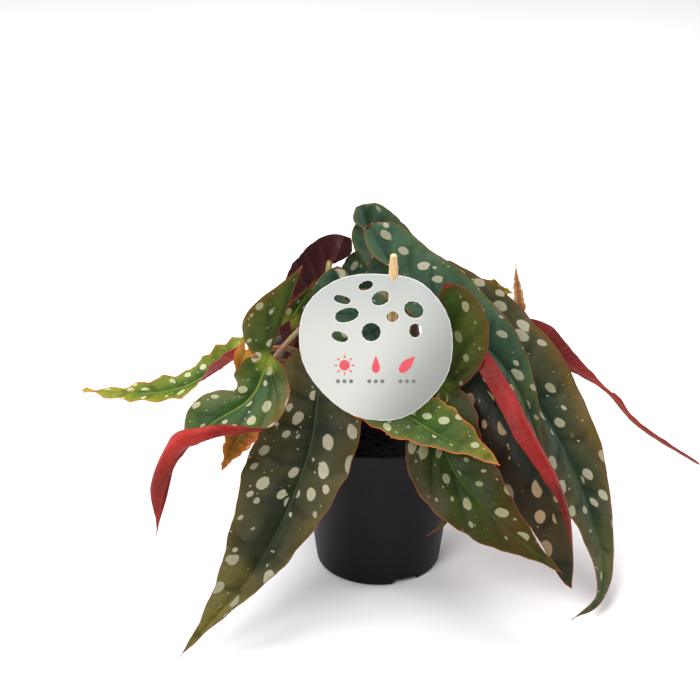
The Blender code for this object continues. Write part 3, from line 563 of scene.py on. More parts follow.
def flat_half(plan, length, neck, veins, teeth, chance):
    """One half of the blade laid flat: its points along the midrib and out from it, and their shares."""
    rows = veins * ROWS_PER_VEIN
    row = np.linspace(0, 1, rows + 1)[:, None]
    t = row**MARGIN_SPREAD
    v = np.linspace(0, 1, BLADE_COLS + 1)[None, :] ** COL_SPREAD
    margin_out = margin_width(plan, length, t)
    inside = np.sin(np.pi * np.clip(t, 0, 1)) ** 0.5
    for waves in MARGIN_WAVES:
        wave = np.sin(waves * np.pi * t + chance.uniform(0, ANY_TURN))
        margin_out = margin_out + inside * MARGIN_WAVE / waves**0.5 * wave
    if teeth:
        size, count = teeth
        tooth = 1 - np.abs((row * count) % 2 - 1)
        margin_out = margin_out + size * tooth * (t > TEETH_SPAN[0]) * (t < TEETH_SPAN[1])
    margin_out = np.maximum(margin_out, 0)
    margin_along = (length + plan["lobe"]) * t - plan["lobe"]
    rib_along = rib_run(row, length, neck)
    bow = VEIN_BOW * length * np.sin(np.pi * v) * np.sin(np.pi * t)
    along = rib_along + (margin_along - rib_along) * v + bow
    # What crosses the midrib's line swings back out to the margin
    swing = np.sin(CROSS_BEND * np.pi * np.clip((v - CROSS_START) / (1 - CROSS_START), 0, 1))
    out = margin_out * v - plan["cross"] * swing * (1 - t) ** CROSS_FADE
    return along, out, t + 0 * v, row + 0 * v, v + 0 * row


def from_margin(along, out):
    """How far each point of a flat half is from its free edges: its first row and last column."""
    points = np.stack([along, out], -1)
    edge = np.concatenate([points[0], points[1:, -1]])
    start, step = edge[:-1], np.diff(edge, axis=0)
    reach = points[:, :, None] - start
    share = np.clip((reach * step).sum(-1) / np.maximum((step**2).sum(-1), 1e-9), 0, 1)
    return np.linalg.norm(reach - share[..., None] * step, axis=-1).min(-1)


def spread(share, values):
    """The value at a share of the way along a row of even steps."""
    return np.interp(share, np.linspace(0, 1, len(values)), values)


def bend(plan, along_share, out):
    """Where a point of one half lands in the midrib's cross-section: sideways and up."""
    fold = np.radians(spread(along_share, plan["fold"]))
    curl = np.radians(spread(along_share, plan["curl"])) / 10
    side = np.zeros_like(out)
    up = np.zeros_like(out)
    for step in range(ARC_STEPS):
        here = out * (step + 0.5) / ARC_STEPS
        angle = fold + curl * here
        if plan["roll"]:
            starts, radius, most = plan["roll"]
            angle = angle + np.clip((here - spread(along_share, starts)) / radius, 0, math.radians(most))
        side += np.cos(angle) * out / ARC_STEPS
        up += np.sin(angle) * out / ARC_STEPS
    return side, up


def blade_surface(midrib, left, right, wave, veins, teeth, swell, spots, chance):
    """The upper side as a grid of points from left margin to right, and what its finish needs there."""
    height, wave_length, phase = wave
    widest = max(left["width"], right["width"])
    neck = max(neck_row(left, midrib.length), neck_row(right, midrib.length))
    halves, facts = [], []
    for sign, plan in ((1, left), (-1, right)):
        along, out, t, row, v = flat_half(plan, midrib.length, neck, veins, teeth, chance)
        point, up, to_left = midrib.at(along)
        side, rise = bend(plan, np.clip(along / midrib.length, 0, 1), np.maximum(out, 0))
        side = np.where(out < 0, out, side)
        ripple = np.sin(2 * np.pi * along / wave_length + phase * sign)
        rise = np.where(out < 0, -out * CROSS_RISE, rise) + height * (np.abs(out) / widest) ** 2 * ripple
        # The blade swells between its side veins, and sinks along its midrib
        vein = np.abs((row * veins) % 1 - 0.5) * 2
        pillow = np.sin(np.pi / 2 * vein) * np.clip(v / SWELL_START, 0, 1)
        pillow = pillow * (1 - SWELL_FADE * v**3) * np.sin(np.pi * t)
        rise = rise + swell * pillow - RIB_DENT * hump(out, RIB_DENT_REACH) * (1 - t)
        halves.append(point + to_left * (side * sign)[..., None] + up * rise[..., None])
        spacing = np.abs(np.gradient(along, axis=0)) * ROWS_PER_VEIN
        ahead, aside = math.cos(SPOT_TILT), math.sin(SPOT_TILT)
        tilted = np.stack([along * ahead + out * aside, out * ahead - along * aside], -1)
        cell = tilted / spots + chance.uniform(0, SPOT_SHIFT, 2)
        lay = np.stack([np.abs(out), from_margin(along, out), along], -1)
        fan = np.stack([row * veins, spacing, t], -1)
        facts.append([np.concatenate([cell, 0 * cell[..., :1]], -1), lay, fan])
    joined = [np.concatenate([first[:, ::-1], second[:, 1:]], axis=1) for first, second in zip(*facts)]
    return np.concatenate([halves[0][:, ::-1], halves[1][:, 1:]], axis=1), joined


def stalk_line(route, midrib):
    """The stalk's line into the midrib from its seat on a cane, square to the cane or along its end."""
    cane, height, *through_points = route
    line = through(CANES[cane], SEAT_SAMPLES)
    along = unit(np.gradient(line, axis=0))
    if height == "end":
        out = along[-1]
        start = line[-1] + out * STALK_SEAT
    else:
        at, tangent = (between(height, line[:, 2], rows) for rows in (line, along))
        radius = np.interp(np.interp(height, line[:, 2], np.linspace(0, 1, len(line))), (0, 1), CANE_RADII)
        out = np.asarray(through_points[0], float) - at
        out = unit(out - (out @ tangent) * tangent / (tangent @ tangent))
        start = at + out * (radius + STALK_SEAT)
    point, up, _ = midrib.at(np.array([STALK_INTO_RIB]))
    run = STALK_RUN * np.linalg.norm(np.asarray(through_points[0]) - start)
    end = point[0] - up[0] * RIB_THICKNESS / 2
    return through([start, start + out * run, *through_points, end], STALK_SAMPLES)


def thickness(lay, fan):
    """How thick the blade is: thin at its margin, thick along its midrib, and ridged along its side veins."""
    full = 1 - MARGIN_THINNING + MARGIN_THINNING * np.clip(lay[..., 1] / MARGIN_REACH, 0, 1)
    rib = hump(lay[..., 0], RIB_REACH) * (1 - fan[..., 2])
    vein = np.abs(fan[..., 0] % 1 - 0.5) * fan[..., 1]
    ridge = hump(vein, VEIN_REACH) * np.clip(lay[..., 1] / VEIN_FADE, 0, 1)
    return BLADE_THICKNESS * full + (RIB_THICKNESS - BLADE_THICKNESS) * rib + VEIN_RIDGE * ridge


def edge_of(rows, cols):
    """The points round the edge of a grid, in order."""
    foot, side = np.arange(cols), np.arange(rows) * cols
    return np.concatenate([foot, side[1:] + cols - 1, foot[-2::-1] + side[-1], side[-2:0:-1]])


def make_leaf(node, upper_skin, back_skin, stalk, midrib, faces, left, right, veins=8, wave=(2.5, 60, 0.0),
              teeth=None, swell=0.9, spots=(21, 14), slot="leaf_green"):
    """A leaf that stands for one node. stalk is (cane, height or "end", points on the way), midrib [lobe end,
    stalk end, ..., tip] and faces the way its upper side looks. wave is (height, length, phase), teeth (size,
    count), and spots the room for each spot along and across."""
    chance = np.random.default_rng(sum(map(ord, node)))
    rib = Midrib(midrib, faces)
    top, facts = blade_surface(rib, left, right, wave, veins, teeth, swell, spots, chance)
    across, ahead = np.gradient(top, axis=1), np.gradient(top, axis=0)
    back = top - unit(np.cross(across, ahead)) * thickness(*facts[1:])[..., None]
    face, rim = quads(*top.shape[:2]), edge_of(*top.shape[:2])
    count = top.size // 3
    after = np.roll(rim, -1)
    margin = np.stack([rim, rim + count, after + count, after], -1)
    line = stalk_line(stalk, rib)
    bar, bar_faces = round_bar(line, np.linspace(*STALK_RADII, len(line)), STALK_SIDES)
    points = np.concatenate([top.reshape(-1, 3), back.reshape(-1, 3), bar])
    low, high = (np.array(corner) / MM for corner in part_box(node))
    points = np.clip(points, low, high)
    all_faces = np.concatenate([face, face[:, ::-1] + count, margin, bar_faces + 2 * count])
    kinds = np.repeat([0, 1, 0, 2], [len(face), len(face), len(margin), len(bar_faces)])
    finishes = (upper_skin, back_skin, stalk_skin)
    piece = new_piece(node.replace("leaf", "blade"), points, all_faces, finishes, kinds)
    for name, values in zip(("spots", "lay", "fan"), facts):
        flat = values.reshape(-1, 3)
        everywhere = np.concatenate([flat, flat, np.zeros((len(bar), 3))])
        attribute = piece.data.attributes.new(name, "FLOAT_VECTOR", "POINT")
        attribute.data.foreach_set("vector", everywhere.ravel())
    piece.data.set_sharp_from_angle(angle=BLADE_SHARP)
    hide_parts(node)
    return piece


def carried(tree, name):
    """The three numbers that a blade carries under that name, as a vector."""
    attribute = tree.nodes.new("ShaderNodeAttribute")
    attribute.attribute_name = name
    return attribute.outputs["Vector"]


def vein_distance(tree):
    """How far a place is from the nearest side vein, and its share of the way to the tip."""
    phase, spacing, share = add("SeparateXYZ", {0: carried(tree, "fan")}).outputs
    return times(maths("ABSOLUTE")(less(maths("FRACT")(phase), 0.5)), spacing), share


def spot_layer(place, scale, smallest, biggest, soft):
    """A mask of round spots of every size, one to a cell, a number for each, and how far its middle is."""
    inputs = {"Vector": place, "Scale": scale, "Randomness": SPOT_SCATTER}
    cells = add("TexVoronoi", inputs, voronoi_dimensions="2D")
    far = cells.outputs["Distance"]
    draw = add("SeparateColor", {0: cells.outputs["Color"]}).outputs
    radius = add("MapRange", {0: draw[0], 1: 0, 2: 1, 3: smallest, 4: biggest}).outputs[0]
    return ramp(far, less(radius, soft), plus(radius, soft), 1.0, 0.0), draw[1], far


def shaded(colour, light):
    """The colour times a number."""
    grey = add("CombineColor", {0: light, 1: light, 2: light}).outputs[0]
    return mixed(1.0, colour, grey, "MULTIPLY")


def make_spotted_blade():
    """The upper side: rib, blade, outer and tip colours, veins with painted shade in their creases, silver
    spots and the line of the margin.
    """
    colours = ("Rib", "Blade", "Outer", "Tip", "Heart", "Margin", "Spot")
    numbers = ("Spot smallest", "Spot biggest", "Speck biggest", "Gloss", "Lobe light")
    tree, given, place = new_group("spotted_blade", colours, numbers)
    spots = carried(tree, "spots")
    from_rib, from_edge, along = add("SeparateXYZ", {0: carried(tree, "lay")}).outputs
    vein_mm, share = vein_distance(tree)
    out = over(from_rib, plus(plus(from_rib, from_edge), 0.01))
    drift = times(less(noise(place, CLOUDS, 2.0), 0.5), 1.1)
    outwards, tipwards = plus(out, drift), plus(share, drift)
    colour = mixed(ramp(outwards, 0.05, 0.5), given["Rib"], given["Blade"])
    colour = mixed(ramp(outwards, 0.55, 1.05), colour, given["Outer"])
    colour = mixed(ramp(tipwards, 0.6, 1.05), colour, given["Tip"])
    colour = shaded(colour, ramp(noise(place, FLECKS, 4.0, 0.6), 0.3, 0.7, 0.86, 1.14))
    colour = shaded(colour, ramp(along, -26.0, -4.0, given["Lobe light"], 1.0))
    # Painted shade in the creases along the side veins, the side veins themselves, and the pale heart that
    # runs from the stalk along the midrib
    painted_vein_shade = times(ramp(vein_mm, 0.0, 5.0, 0.42, 0.0), ramp(out, 1.0, 0.4))
    colour = shaded(colour, less(1.0, painted_vein_shade))
    vein = times(ramp(vein_mm, 0.2, 1.1, 0.4, 0.0), ramp(out, 0.95, 0.5))
    colour = mixed(vein, colour, given["Rib"])
    heart = times(ramp(from_rib, 0.3, 0.9, 1.0, 0.0), ramp(share, 0.1, 0.9, 0.8, 0.1))
    heart = times(heart, ramp(along, -2.0, 2.0))
    reach = add("CombineXYZ", {0: from_rib, 1: along}).outputs[0]
    reach = add("VectorMath", {0: reach}, operation="LENGTH").outputs["Value"]
    glow = ramp(reach, 1.0, 11.0, 0.75, 0.0)
    colour = mixed(maths("MAXIMUM")(heart, glow), colour, given["Heart"])
    # Spots grow between the veins, clear of the midrib, with specks among them
    shake = add("TexNoise", {"Vector": spots, "Scale": 2.4, "Detail": 1.0}).outputs["Color"]
    shake = add("VectorMath", {0: shake, 1: (0.5, 0.5, 0.5)}, operation="SUBTRACT").outputs[0]
    shake = add("VectorMath", {0: shake, "Scale": SPOT_SHAKE}, operation="SCALE").outputs[0]
    shaken = add("VectorMath", {0: spots, 1: shake}, operation="ADD").outputs[0]
    large, draw, middle = spot_layer(shaken, 1.0, given["Spot smallest"], given["Spot biggest"], 0.022)
    small, _, _ = spot_layer(shaken, SPECK_CELLS, -0.9, given["Speck biggest"], 0.07)
    small = times(small, ramp(noise(spots, 0.9, 1.0), 0.42, 0.56))
    mask = times(maths("MAXIMUM")(large, small), ramp(from_rib, 1.6, 2.6))
    silver = mixed(ramp(draw, 0.0, 1.0, 0.0, 0.22), given["Spot"], colour)
    silver = mixed(ramp(middle, 0.0, 0.06, 0.35, 0.0), silver, colour)
    colour = mixed(times(mask, 0.96), colour, silver)
    colour = mixed(ramp(from_edge, 0.25, 0.75, 1.0, 0.0), colour, given["Margin"])
    grain = noise(place, GRAIN, 2.0)
    rough = plus(plus(given["Gloss"], times(grain, 0.12)), times(mask, 0.08))
    height = less(plus(times(grain, 0.35), times(mask, 0.25)), vein)
    return give(tree, Colour=colour, Roughness=rough, Height=height)


def make_leaf_back():
    """The back of a leaf: a red that darkens in patches, with a net of raised veins."""
    tree, given, place = new_group("leaf_back", ("Flesh", "Deep", "Vein"), ("Gloss",))
    from_rib = add("SeparateXYZ", {0: carried(tree, "lay")}).outputs[0]
    vein_mm, _ = vein_distance(tree)
    colour = mixed(ramp(noise(place, BACK_CLOUDS), 0.35, 0.65), given["Flesh"], given["Deep"])
    vein = ramp(maths("MINIMUM")(vein_mm, from_rib), 0.3, 1.2, 0.35, 0.0)
    net = add("TexVoronoi", {"Vector": place, "Scale": BACK_NET}, feature="DISTANCE_TO_EDGE").outputs[0]
    lines = maths("MAXIMUM")(vein, ramp(net, 0.0, 0.12, 0.25, 0.0))
    colour = mixed(lines, colour, given["Vein"])
    rough = plus(given["Gloss"], times(noise(place, BACK_GRAIN), 0.15))
    return give(tree, Colour=colour, Roughness=rough, Height=lines)


spotted_blade = make_spotted_blade()
leaf_back = make_leaf_back()


def upper(name, rib, blade, outer, tip, heart, margin=(112, 62, 38), spot=(154, 150, 126), sizes=(-0.2, 0.31),
          specks=0.2, gloss=0.42, lobe_light=1.0):
    """The finish of a leaf's upper side. sizes are the radii of its smallest and biggest spots in cells, and
    lobe_light says how much lighter it is on the lobes behind the stalk."""
    tones = dict(Rib=rib, Blade=blade, Outer=outer, Tip=tip, Margin=margin, Spot=spot, Heart=heart)
    values = {key: paint(*tone) for key, tone in tones.items()}
    values |= {"Spot smallest": sizes[0], "Spot biggest": sizes[1], "Speck biggest": specks}
    values |= {"Gloss": gloss, "Lobe light": lobe_light}
    return new_finish(name, spotted_blade, values, bump=0.0002, Specular_IOR_Level=0.14)


def back_of(name, flesh, deep, vein, gloss=0.42):
    values = dict(Flesh=paint(*flesh), Deep=paint(*deep), Vein=paint(*vein), Gloss=gloss)
    return new_finish(name, leaf_back, values, bump=0.0003, Specular_IOR_Level=0.2)


stalk_skin = mottled(
    "stalk_skin", (104, 98, 44), (120, 72, 44), (166, 150, 104),
    patches=90, specks=900, share=0.3, bump=0.0001, roughness=0.42,
)
red_back = back_of("red_back", (150, 35, 28), (114, 27, 23), (160, 56, 42))
crimson_back = back_of("crimson_back", (130, 29, 25), (92, 23, 21), (140, 46, 38))
rose_back = back_of("rose_back", (150, 54, 50), (122, 43, 41), (162, 84, 70))
wine_back = back_of("wine_back", (64, 26, 28), (46, 23, 26), (86, 40, 40))
olive = upper(
    "olive_leaf", (36, 42, 25), (55, 54, 30), (74, 66, 32), (100, 92, 42), (56, 70, 46), sizes=(-0.04, 0.33)
)
green = upper(
    "green_leaf", (40, 66, 26), (62, 74, 28), (88, 74, 28), (98, 80, 28), (128, 138, 48),
    spot=(156, 154, 122), sizes=(-0.02, 0.31),
)
grass = upper(
    "grass_leaf", (54, 78, 26), (66, 80, 27), (84, 88, 30), (116, 106, 38), (112, 126, 50),
    margin=(186, 84, 40), spot=(160, 166, 128), sizes=(-0.03, 0.33),
)
moss = upper(
    "moss_leaf", (42, 62, 22), (48, 54, 20), (55, 47, 19), (63, 50, 20), (88, 104, 40),
    spot=(140, 138, 104), sizes=(-0.06, 0.31), lobe_light=2.0,
)
fresh = upper(
    "fresh_leaf", (62, 88, 30), (92, 104, 34), (108, 110, 36), (144, 136, 44), (134, 144, 56),
    margin=(182, 84, 40), spot=(176, 178, 142), sizes=(-0.05, 0.31),
)
orange = upper(
    "orange_leaf", (120, 88, 26), (150, 92, 30), (176, 96, 40), (190, 130, 80), (150, 110, 40),
    margin=(190, 84, 40), spot=(206, 140, 92),
)
bottle = upper(
    "bottle_leaf", (38, 60, 45), (52, 72, 55), (60, 77, 50), (74, 82, 40), (60, 82, 60),
    sizes=(-0.05, 0.31), lobe_light=1.5,
)
bronze = upper(
    "bronze_leaf", (38, 54, 39), (60, 61, 40), (84, 66, 30), (74, 80, 42), (56, 70, 44),
    sizes=(-0.08, 0.31), lobe_light=0.6,
)
dusk = upper(
    "dusk_leaf", (32, 35, 25), (42, 35, 24), (50, 38, 21), (58, 50, 24), (26, 44, 28),
    spot=(150, 128, 98), sizes=(-0.05, 0.33),
)


# --- Leaves on the left cane ---
# The oldest leaf hangs right down to the table in front. Above it a wing lifts one lobe and rolls its tip to
# show its red back, and a narrow toothed leaf reaches far out to the left. Young leaves sprout between them.

young = dict(swell=0.3, spots=(10, 7))
make_leaf(
    "leaf_front_left", olive, wine_back, ("left", 121, (-36, -14, 134)),
    [(-34, 2, 188), (-40, -30, 150), (-49, -66, 110), (-78, -106, 60), (-130, -140, 8)],
    [(-0.2, -0.8, 0.6), (-0.2, -0.8, 0.6), (-0.1, -0.8, 0.5)],
    half(32, lobe=24, widest=0.42, cross=8), half(38, lobe=22, widest=0.64, round_base=0.45),
    teeth=(1.0, 24), swell=2.2, spots=(17, 11.5),
)
make_leaf(
    "leaf_left_wing", green, red_back, ("left", 172, (-48, -22, 190)),
    [(-48, -38, 244), (-73, -62, 181), (-84, -82, 165), (-110, -104, 156), (-134, -113, 128),
     (-143, -117, 86)],
    [(0, -0.95, 0.3), (-0.3, -0.7, 0.7), (-0.6, 0.4, 0.7), (-0.4, 0.95, 0.2)],
    half(27, lobe=3, widest=0.7, roll=((34, 16, 3, 0), 4, 160)),
    half(20, lobe=66, widest=0.6, round_base=0.35, ear=(24, 1.9, 0.55), bite=(0.2, 9, 0.06)),
    spots=(12, 8.5),
)
make_leaf(
    "leaf_far_left", fresh, rose_back, ("left", 152, (-62, -10, 166)),
    [(-78, -25, 190), (-92, -25, 172), (-130, -20, 143), (-168, -12, 133), (-204, 0, 130)],
    [(-0.1, -0.5, 0.8), (-0.1, -0.5, 0.8), (0, -0.5, 0.8)],
    half(12, lobe=8, fold=(80, 25, 5)), half(11, lobe=12),
    teeth=(3.0, 17), swell=0.4, spots=(13, 8),
)
make_leaf(
    "young_leaf_left", orange, red_back, ("left", 138, (-62, -8, 146), (-80, -34, 146)),
    [(-82, -48, 140), (-86, -52, 134), (-96, -62, 120), (-104, -70, 106)],
    [(-0.1, -0.9, 0.3), (-0.1, -0.9, 0.3)],
    half(10, lobe=5), half(9, lobe=5),
    teeth=(1.4, 12), **young,
)
make_leaf(
    "young_leaf_middle", orange, red_back, ("left", 145, (-64, -10, 156), (-82, -34, 170)),
    [(-86, -42, 186), (-88, -44, 180), (-91, -48, 172), (-93, -52, 163)],
    [(-0.3, -0.9, 0.3), (-0.3, -0.9, 0.3)],
    half(6.5, lobe=6), half(6, lobe=6),
    **young,
)
make_leaf(
    "young_leaf_inner", green, wine_back, ("left", 160, (-48, -2, 168)),
    [(-64, -12, 178), (-60, -10, 186), (-50, -8, 202), (-43, -6, 214)],
    [(0, -0.9, -0.2), (0, -0.9, -0.2)],
    half(8, lobe=5), half(8, lobe=5),
    **young,
)
make_leaf(
    "leaf_red_backed", olive, wine_back, ("left", "end", (-34, 23, 214)),
    [(-23, 42, 226), (-34, 36, 203), (-51, 28, 175), (-63, 22, 136)],
    [(0.1, 0.9, 0.3), (0.1, 0.9, 0.3), (0, 0.9, 0.4)],
    half(24, lobe=26, widest=0.6, taper=1.0, cross=9), half(22, lobe=0, widest=0.6, taper=0.8),
)
make_leaf(
    "leaf_behind_card", bottle, wine_back, ("left", 182, (-26, 2, 188)),
    [(-31, 5, 216), (-22, -4, 198), (0, -20, 172), (15, -26, 148)],
    [(0.1, -0.9, 0.3), (0.1, -0.9, 0.3), (0, -0.9, 0.4)],
    half(22, lobe=4), half(24, lobe=24, widest=0.55, cross=8),
)


# --- Leaves on the right cane ---
# Two broad wings arch out one above the other. In front of them a dark one has rolled in its margin, so that
# its red back shows as a stripe, and a green one hangs down with its great lobe up beside the card.

make_leaf(
    "leaf_upper_right", bottle, wine_back, ("right", "end", (19, 20, 193)),
    [(-12, 45, 243), (16, 20, 203), (52, 2, 180), (88, -18, 148), (115, -38, 86)],
    [(0.1, -0.75, 0.65), (0.3, -0.75, 0.6), (0.5, -0.8, 0.3)],
    half(31, lobe=44, widest=0.55, cross=10), half(18, lobe=8),
    spots=(17, 11),
)
make_leaf(
    "leaf_outer_right", bronze, red_back, ("right", 150, (40, 34, 166)),
    [(30, 48, 195), (50, 42, 176), (90, 22, 140), (127, -12, 90), (149, -48, 40), (148, -77, 14),
     (127, -97, 8)],
    [(0.1, -0.75, 0.65), (0.3, -0.75, 0.6), (0.5, -0.8, 0.3), (0.5, -0.8, 0.3)],
    half(34, lobe=36, widest=0.6, cross=6), half(24, lobe=8, widest=0.85),
    veins=9, teeth=(0.9, 26), swell=2.0, spots=(18, 12),
)
make_leaf(
    "leaf_rolled_right", dusk, crimson_back, ("right", 128, (30, -22, 144)),
    [(37, 2, 193), (49, -16, 171), (69, -46, 150), (97, -76, 114), (115, -93, 84), (124, -108, 40)],
    [(-0.3, -0.85, 0.45), (-0.5, -0.8, 0.35), (-0.6, -0.75, 0.1)],
    half(34, lobe=18, widest=0.62, taper=1.0, roll=((14, 14, 9, 0), 4, 172)),
    half(28, lobe=8, widest=0.9, taper=0.6),
    swell=1.3,
)
make_leaf(
    "leaf_front_right", moss, red_back, ("right", 123, (32, -30, 137)),
    [(45, -31, 220), (41, -48, 155), (43, -75, 119), (69, -103, 94), (116, -125, 62)],
    [(0, -0.9, 0.4), (0, -0.7, 0.7), (-0.1, -0.7, 0.7)],
    half(25, lobe=70, widest=0.6, round_base=0.35, cross=10, ear=(29, 0.9, 0.4), curl=(6, -5, 0)),
    half(27, lobe=0, widest=0.7),
    teeth=(1.0, 26), swell=1.4, spots=(17, 11),
)
make_leaf(
    "young_leaf_low", moss, moss, ("right", 115, (34, -24, 122)),
    [(50, -43, 118), (51, -46, 112), (54, -54, 90), (44, -53, 58), (32, -50, 44)],
    [(0.5, -0.8, 0.3), (0.5, -0.8, 0.3)],
    half(8, lobe=4), half(7, lobe=4),
    **young,
)
make_leaf(
    "leaf_under_card", grass, red_back, ("right", 118.5, (2, -20, 127), (-3, -37, 143)),
    [(-14, -38, 155), (-7, -42, 150), (22, -67, 142), (39, -82, 138), (75, -100, 127)],
    [(0, -0.5, 0.85), (0, -0.5, 0.85), (0, -0.5, 0.85)],
    half(20, lobe=6, widest=1.0, round_base=2.0, taper=1.0, fold=(35, 32, 15)),
    half(22, lobe=20, widest=0.5),
    teeth=(1.4, 16), spots=(12, 8), swell=0.6,
)


# --- Leaves on the side cane ---
# A folded leaf at the far right hangs with its back out. By it a crinkled young leaf looks out from behind
# the outer wing, and the dried bract of a lost leaf stands at the cane's tip.

make_leaf(
    "young_leaf_side", fresh, rose_back, ("side", 130, (60, 58, 146)),
    [(58, 68, 163), (66, 70, 167), (80, 74, 171), (96, 77, 168)],
    [(0, -0.8, 0.6), (0, -0.8, 0.6)],
    half(9, lobe=5), half(8, lobe=5),
    teeth=(1.0, 10), swell=0.4, spots=(10, 7),
)
make_leaf(
    "leaf_far_right", olive, rose_back, ("side", 143, (90, 60, 142)),
    [(98, 62, 154), (104, 60, 147), (138, 58, 121), (167, 52, 99), (188, 46, 77), (232, 40, 49)],
    [(0.3, 0.85, 0.3), (0.3, 0.85, 0.3), (0.3, 0.85, 0.3)],
    half(14, lobe=6, widest=0.3, round_base=1.0, taper=7.0, tail=3.0),
    half(14, lobe=6, widest=0.3, round_base=1.0, taper=7.0, tail=3.0),
    swell=0.4,
)
bract = upper(
    "dried_bract", (196, 140, 96), (216, 174, 122), (226, 190, 140), (204, 176, 116), (186, 112, 84),
    margin=(180, 136, 92), spot=(222, 188, 146), specks=-1.0, gloss=0.6,
)
make_leaf(
    "dried_bract", bract, bract, ("side", "end", (94, 58, 152)),
    [(100, 60, 155), (100, 60, 158), (98, 62, 176), (95, 62, 197)],
    [(0.3, -0.9, 0.1), (-0.3, -0.9, 0.1), (-0.6, -0.7, 0.1)],
    half(4.5, lobe=1.5, fold=(30, 40, 30)), half(4, lobe=1.5, fold=(20, 30, 20)),
    wave=(1.5, 24, 0.0), swell=0.2, slot="dried_bract",
).name = "bract_blade"


# --- Leaves at the back ---
# The back of the plant is as full as its front: two leaves high up in the middle, and four that arch over
# the rim and hang down round the pot. Their stalks grow from the back cane, and one from the left cane.

make_leaf(
    "leaf_inner", bottle, wine_back, ("back", 160, (-9, 50, 185)),
    [(-6, 50, 222), (-8, 48, 200), (-12, 42, 165), (-14, 36, 130)],
    [(0.1, -0.9, 0.3), (0.1, -0.9, 0.3), (0, -0.9, 0.4)],
    half(22, lobe=22), half(20, lobe=12),
)
make_leaf(
    "leaf_top", bottle, wine_back, ("back", "end", (-4, 76, 193)),
    [(-12, 94, 228), (-3, 88, 206), (12, 84, 186), (28, 82, 162), (38, 80, 130)],
    [(0.2, -0.6, 0.8), (0.3, -0.6, 0.8), (0.5, -0.6, 0.5)],
    half(26, lobe=25, widest=0.55, cross=11), half(22, lobe=14),
)
make_leaf(
    "leaf_back_left", olive, wine_back, ("back", 166, (-24, 66, 172)),
    [(-26, 60, 190), (-38, 76, 172), (-58, 106, 148), (-72, 126, 98), (-74, 132, 40)],
    [(-0.3, 0.5, 0.8), (-0.3, 0.7, 0.6), (-0.3, 0.9, 0.2)],
    half(22, lobe=8, widest=0.7), half(32, lobe=30, widest=0.5),
    swell=1.2,
)
make_leaf(
    "leaf_back", bottle, wine_back, ("back", 140, (0, 72, 146)),
    [(-4, 80, 176), (0, 98, 162), (2, 126, 126), (8, 138, 78), (20, 136, 26)],
    [(0, 0.5, 0.8), (0, 0.7, 0.6), (0, 0.9, 0.2)],
    half(30, lobe=12, widest=0.5), half(25, lobe=8, widest=0.7),
    swell=1.2,
)
make_leaf(
    "leaf_back_right", green, wine_back, ("back", 120, (30, 64, 130)),
    [(50, 80, 172), (62, 92, 158), (94, 114, 132), (120, 122, 84), (132, 116, 34)],
    [(0.3, 0.5, 0.8), (0.4, 0.6, 0.7), (0.4, 0.8, 0.3)],
    half(32, lobe=20, widest=0.5), half(24, lobe=8, widest=0.7),
    swell=1.2,
)
make_leaf(
    "leaf_left_back", bronze, wine_back, ("left", 136, (-42, 28, 150)),
    [(-46, 38, 180), (-52, 46, 160), (-74, 62, 130), (-86, 70, 82), (-82, 68, 32)],
    [(-0.5, 0.4, 0.7), (-0.7, 0.4, 0.6), (-0.8, 0.5, 0.2)],
    half(15, lobe=8, widest=0.7), half(29, lobe=20, widest=0.5),
    swell=1.2,
)


# --- Display card ---
# A round card of white board, stamped out with nine oval holes and held on the stick by a tongue of card
# behind it. Its face is printed pale silver grey up to a fine white edge, with care symbols and rating dots.
# Painted light and shade over the print make it paler at its lower left and darkest at its lower right.

CARD_THICKNESS = 0.8
CARD_LEAN = math.radians(14)
CARD_CENTRE = Vector((-3.5, -61.0, 190.7))
CARD_RADIUS = 48.0
CARD_EDGE = ((9, 47.5), (34, 38), (49, 1), (33.5, -34.5), (3.5, -47.5), (-34, -29), (-49, 9), (-35, 38))
CARD_HOLES = (  # across, up, half length, half height, tilt in degrees
    (-6.5, 40.5, 4.9, 3.0, 20),
    (-21.5, 31.5, 5.6, 2.7, -15),
    (3.0, 32.5, 6.2, 4.6, 25),
    (-18.5, 21.5, 7.9, 4.6, 15),
    (10.5, 20.5, 3.9, 3.7, 0),
    (24.0, 25.0, 6.6, 5.3, -30),
    (-23.0, 7.5, 5.6, 3.3, -20),
    (-3.0, 10.5, 6.2, 6.2, 0),
    (25.0, 11.5, 3.9, 4.7, 0),
)
PRINT_INSET = 0.45
PRINT_DEPTH = 0.06
INK_LIFT = 1.5 * PRINT_DEPTH
SYMBOLS_ACROSS = (-20, 0, 20)
SUN_UP, SUN_RADIUS = -11.0, 3.4
RAYS = 8
RAY_START, RAY_END, RAY_HALF_WIDTH, RAY_TAPER = 4.6, 6.6, 0.55, 0.6
DROP_UP, DROP_HALF_WIDTH, DROP_HALF_HEIGHT, DROP_TAPER = -10.2, 3.7, 5.8, 1.6
DROP_STEPS = 36
SPRIG = ((15.5, -15.5), (16.2, -10), (22.5, -6), (24.5, -5.5), (24, -8), (21.5, -13.5))
DOTS_UP, DOT_SPACING, DOT_RADIUS = -21.5, 4.2, 1.3


def card_place(lift):
    across = Vector((1, 0, 0))
    up = Vector((0, math.sin(CARD_LEAN), math.cos(CARD_LEAN)))
    out = across.cross(up)
    turn = Matrix((across, up, out)).transposed().to_4x4()
    return Matrix.Translation((CARD_CENTRE + out * (CARD_THICKNESS / 2 + lift)) * MM) @ turn


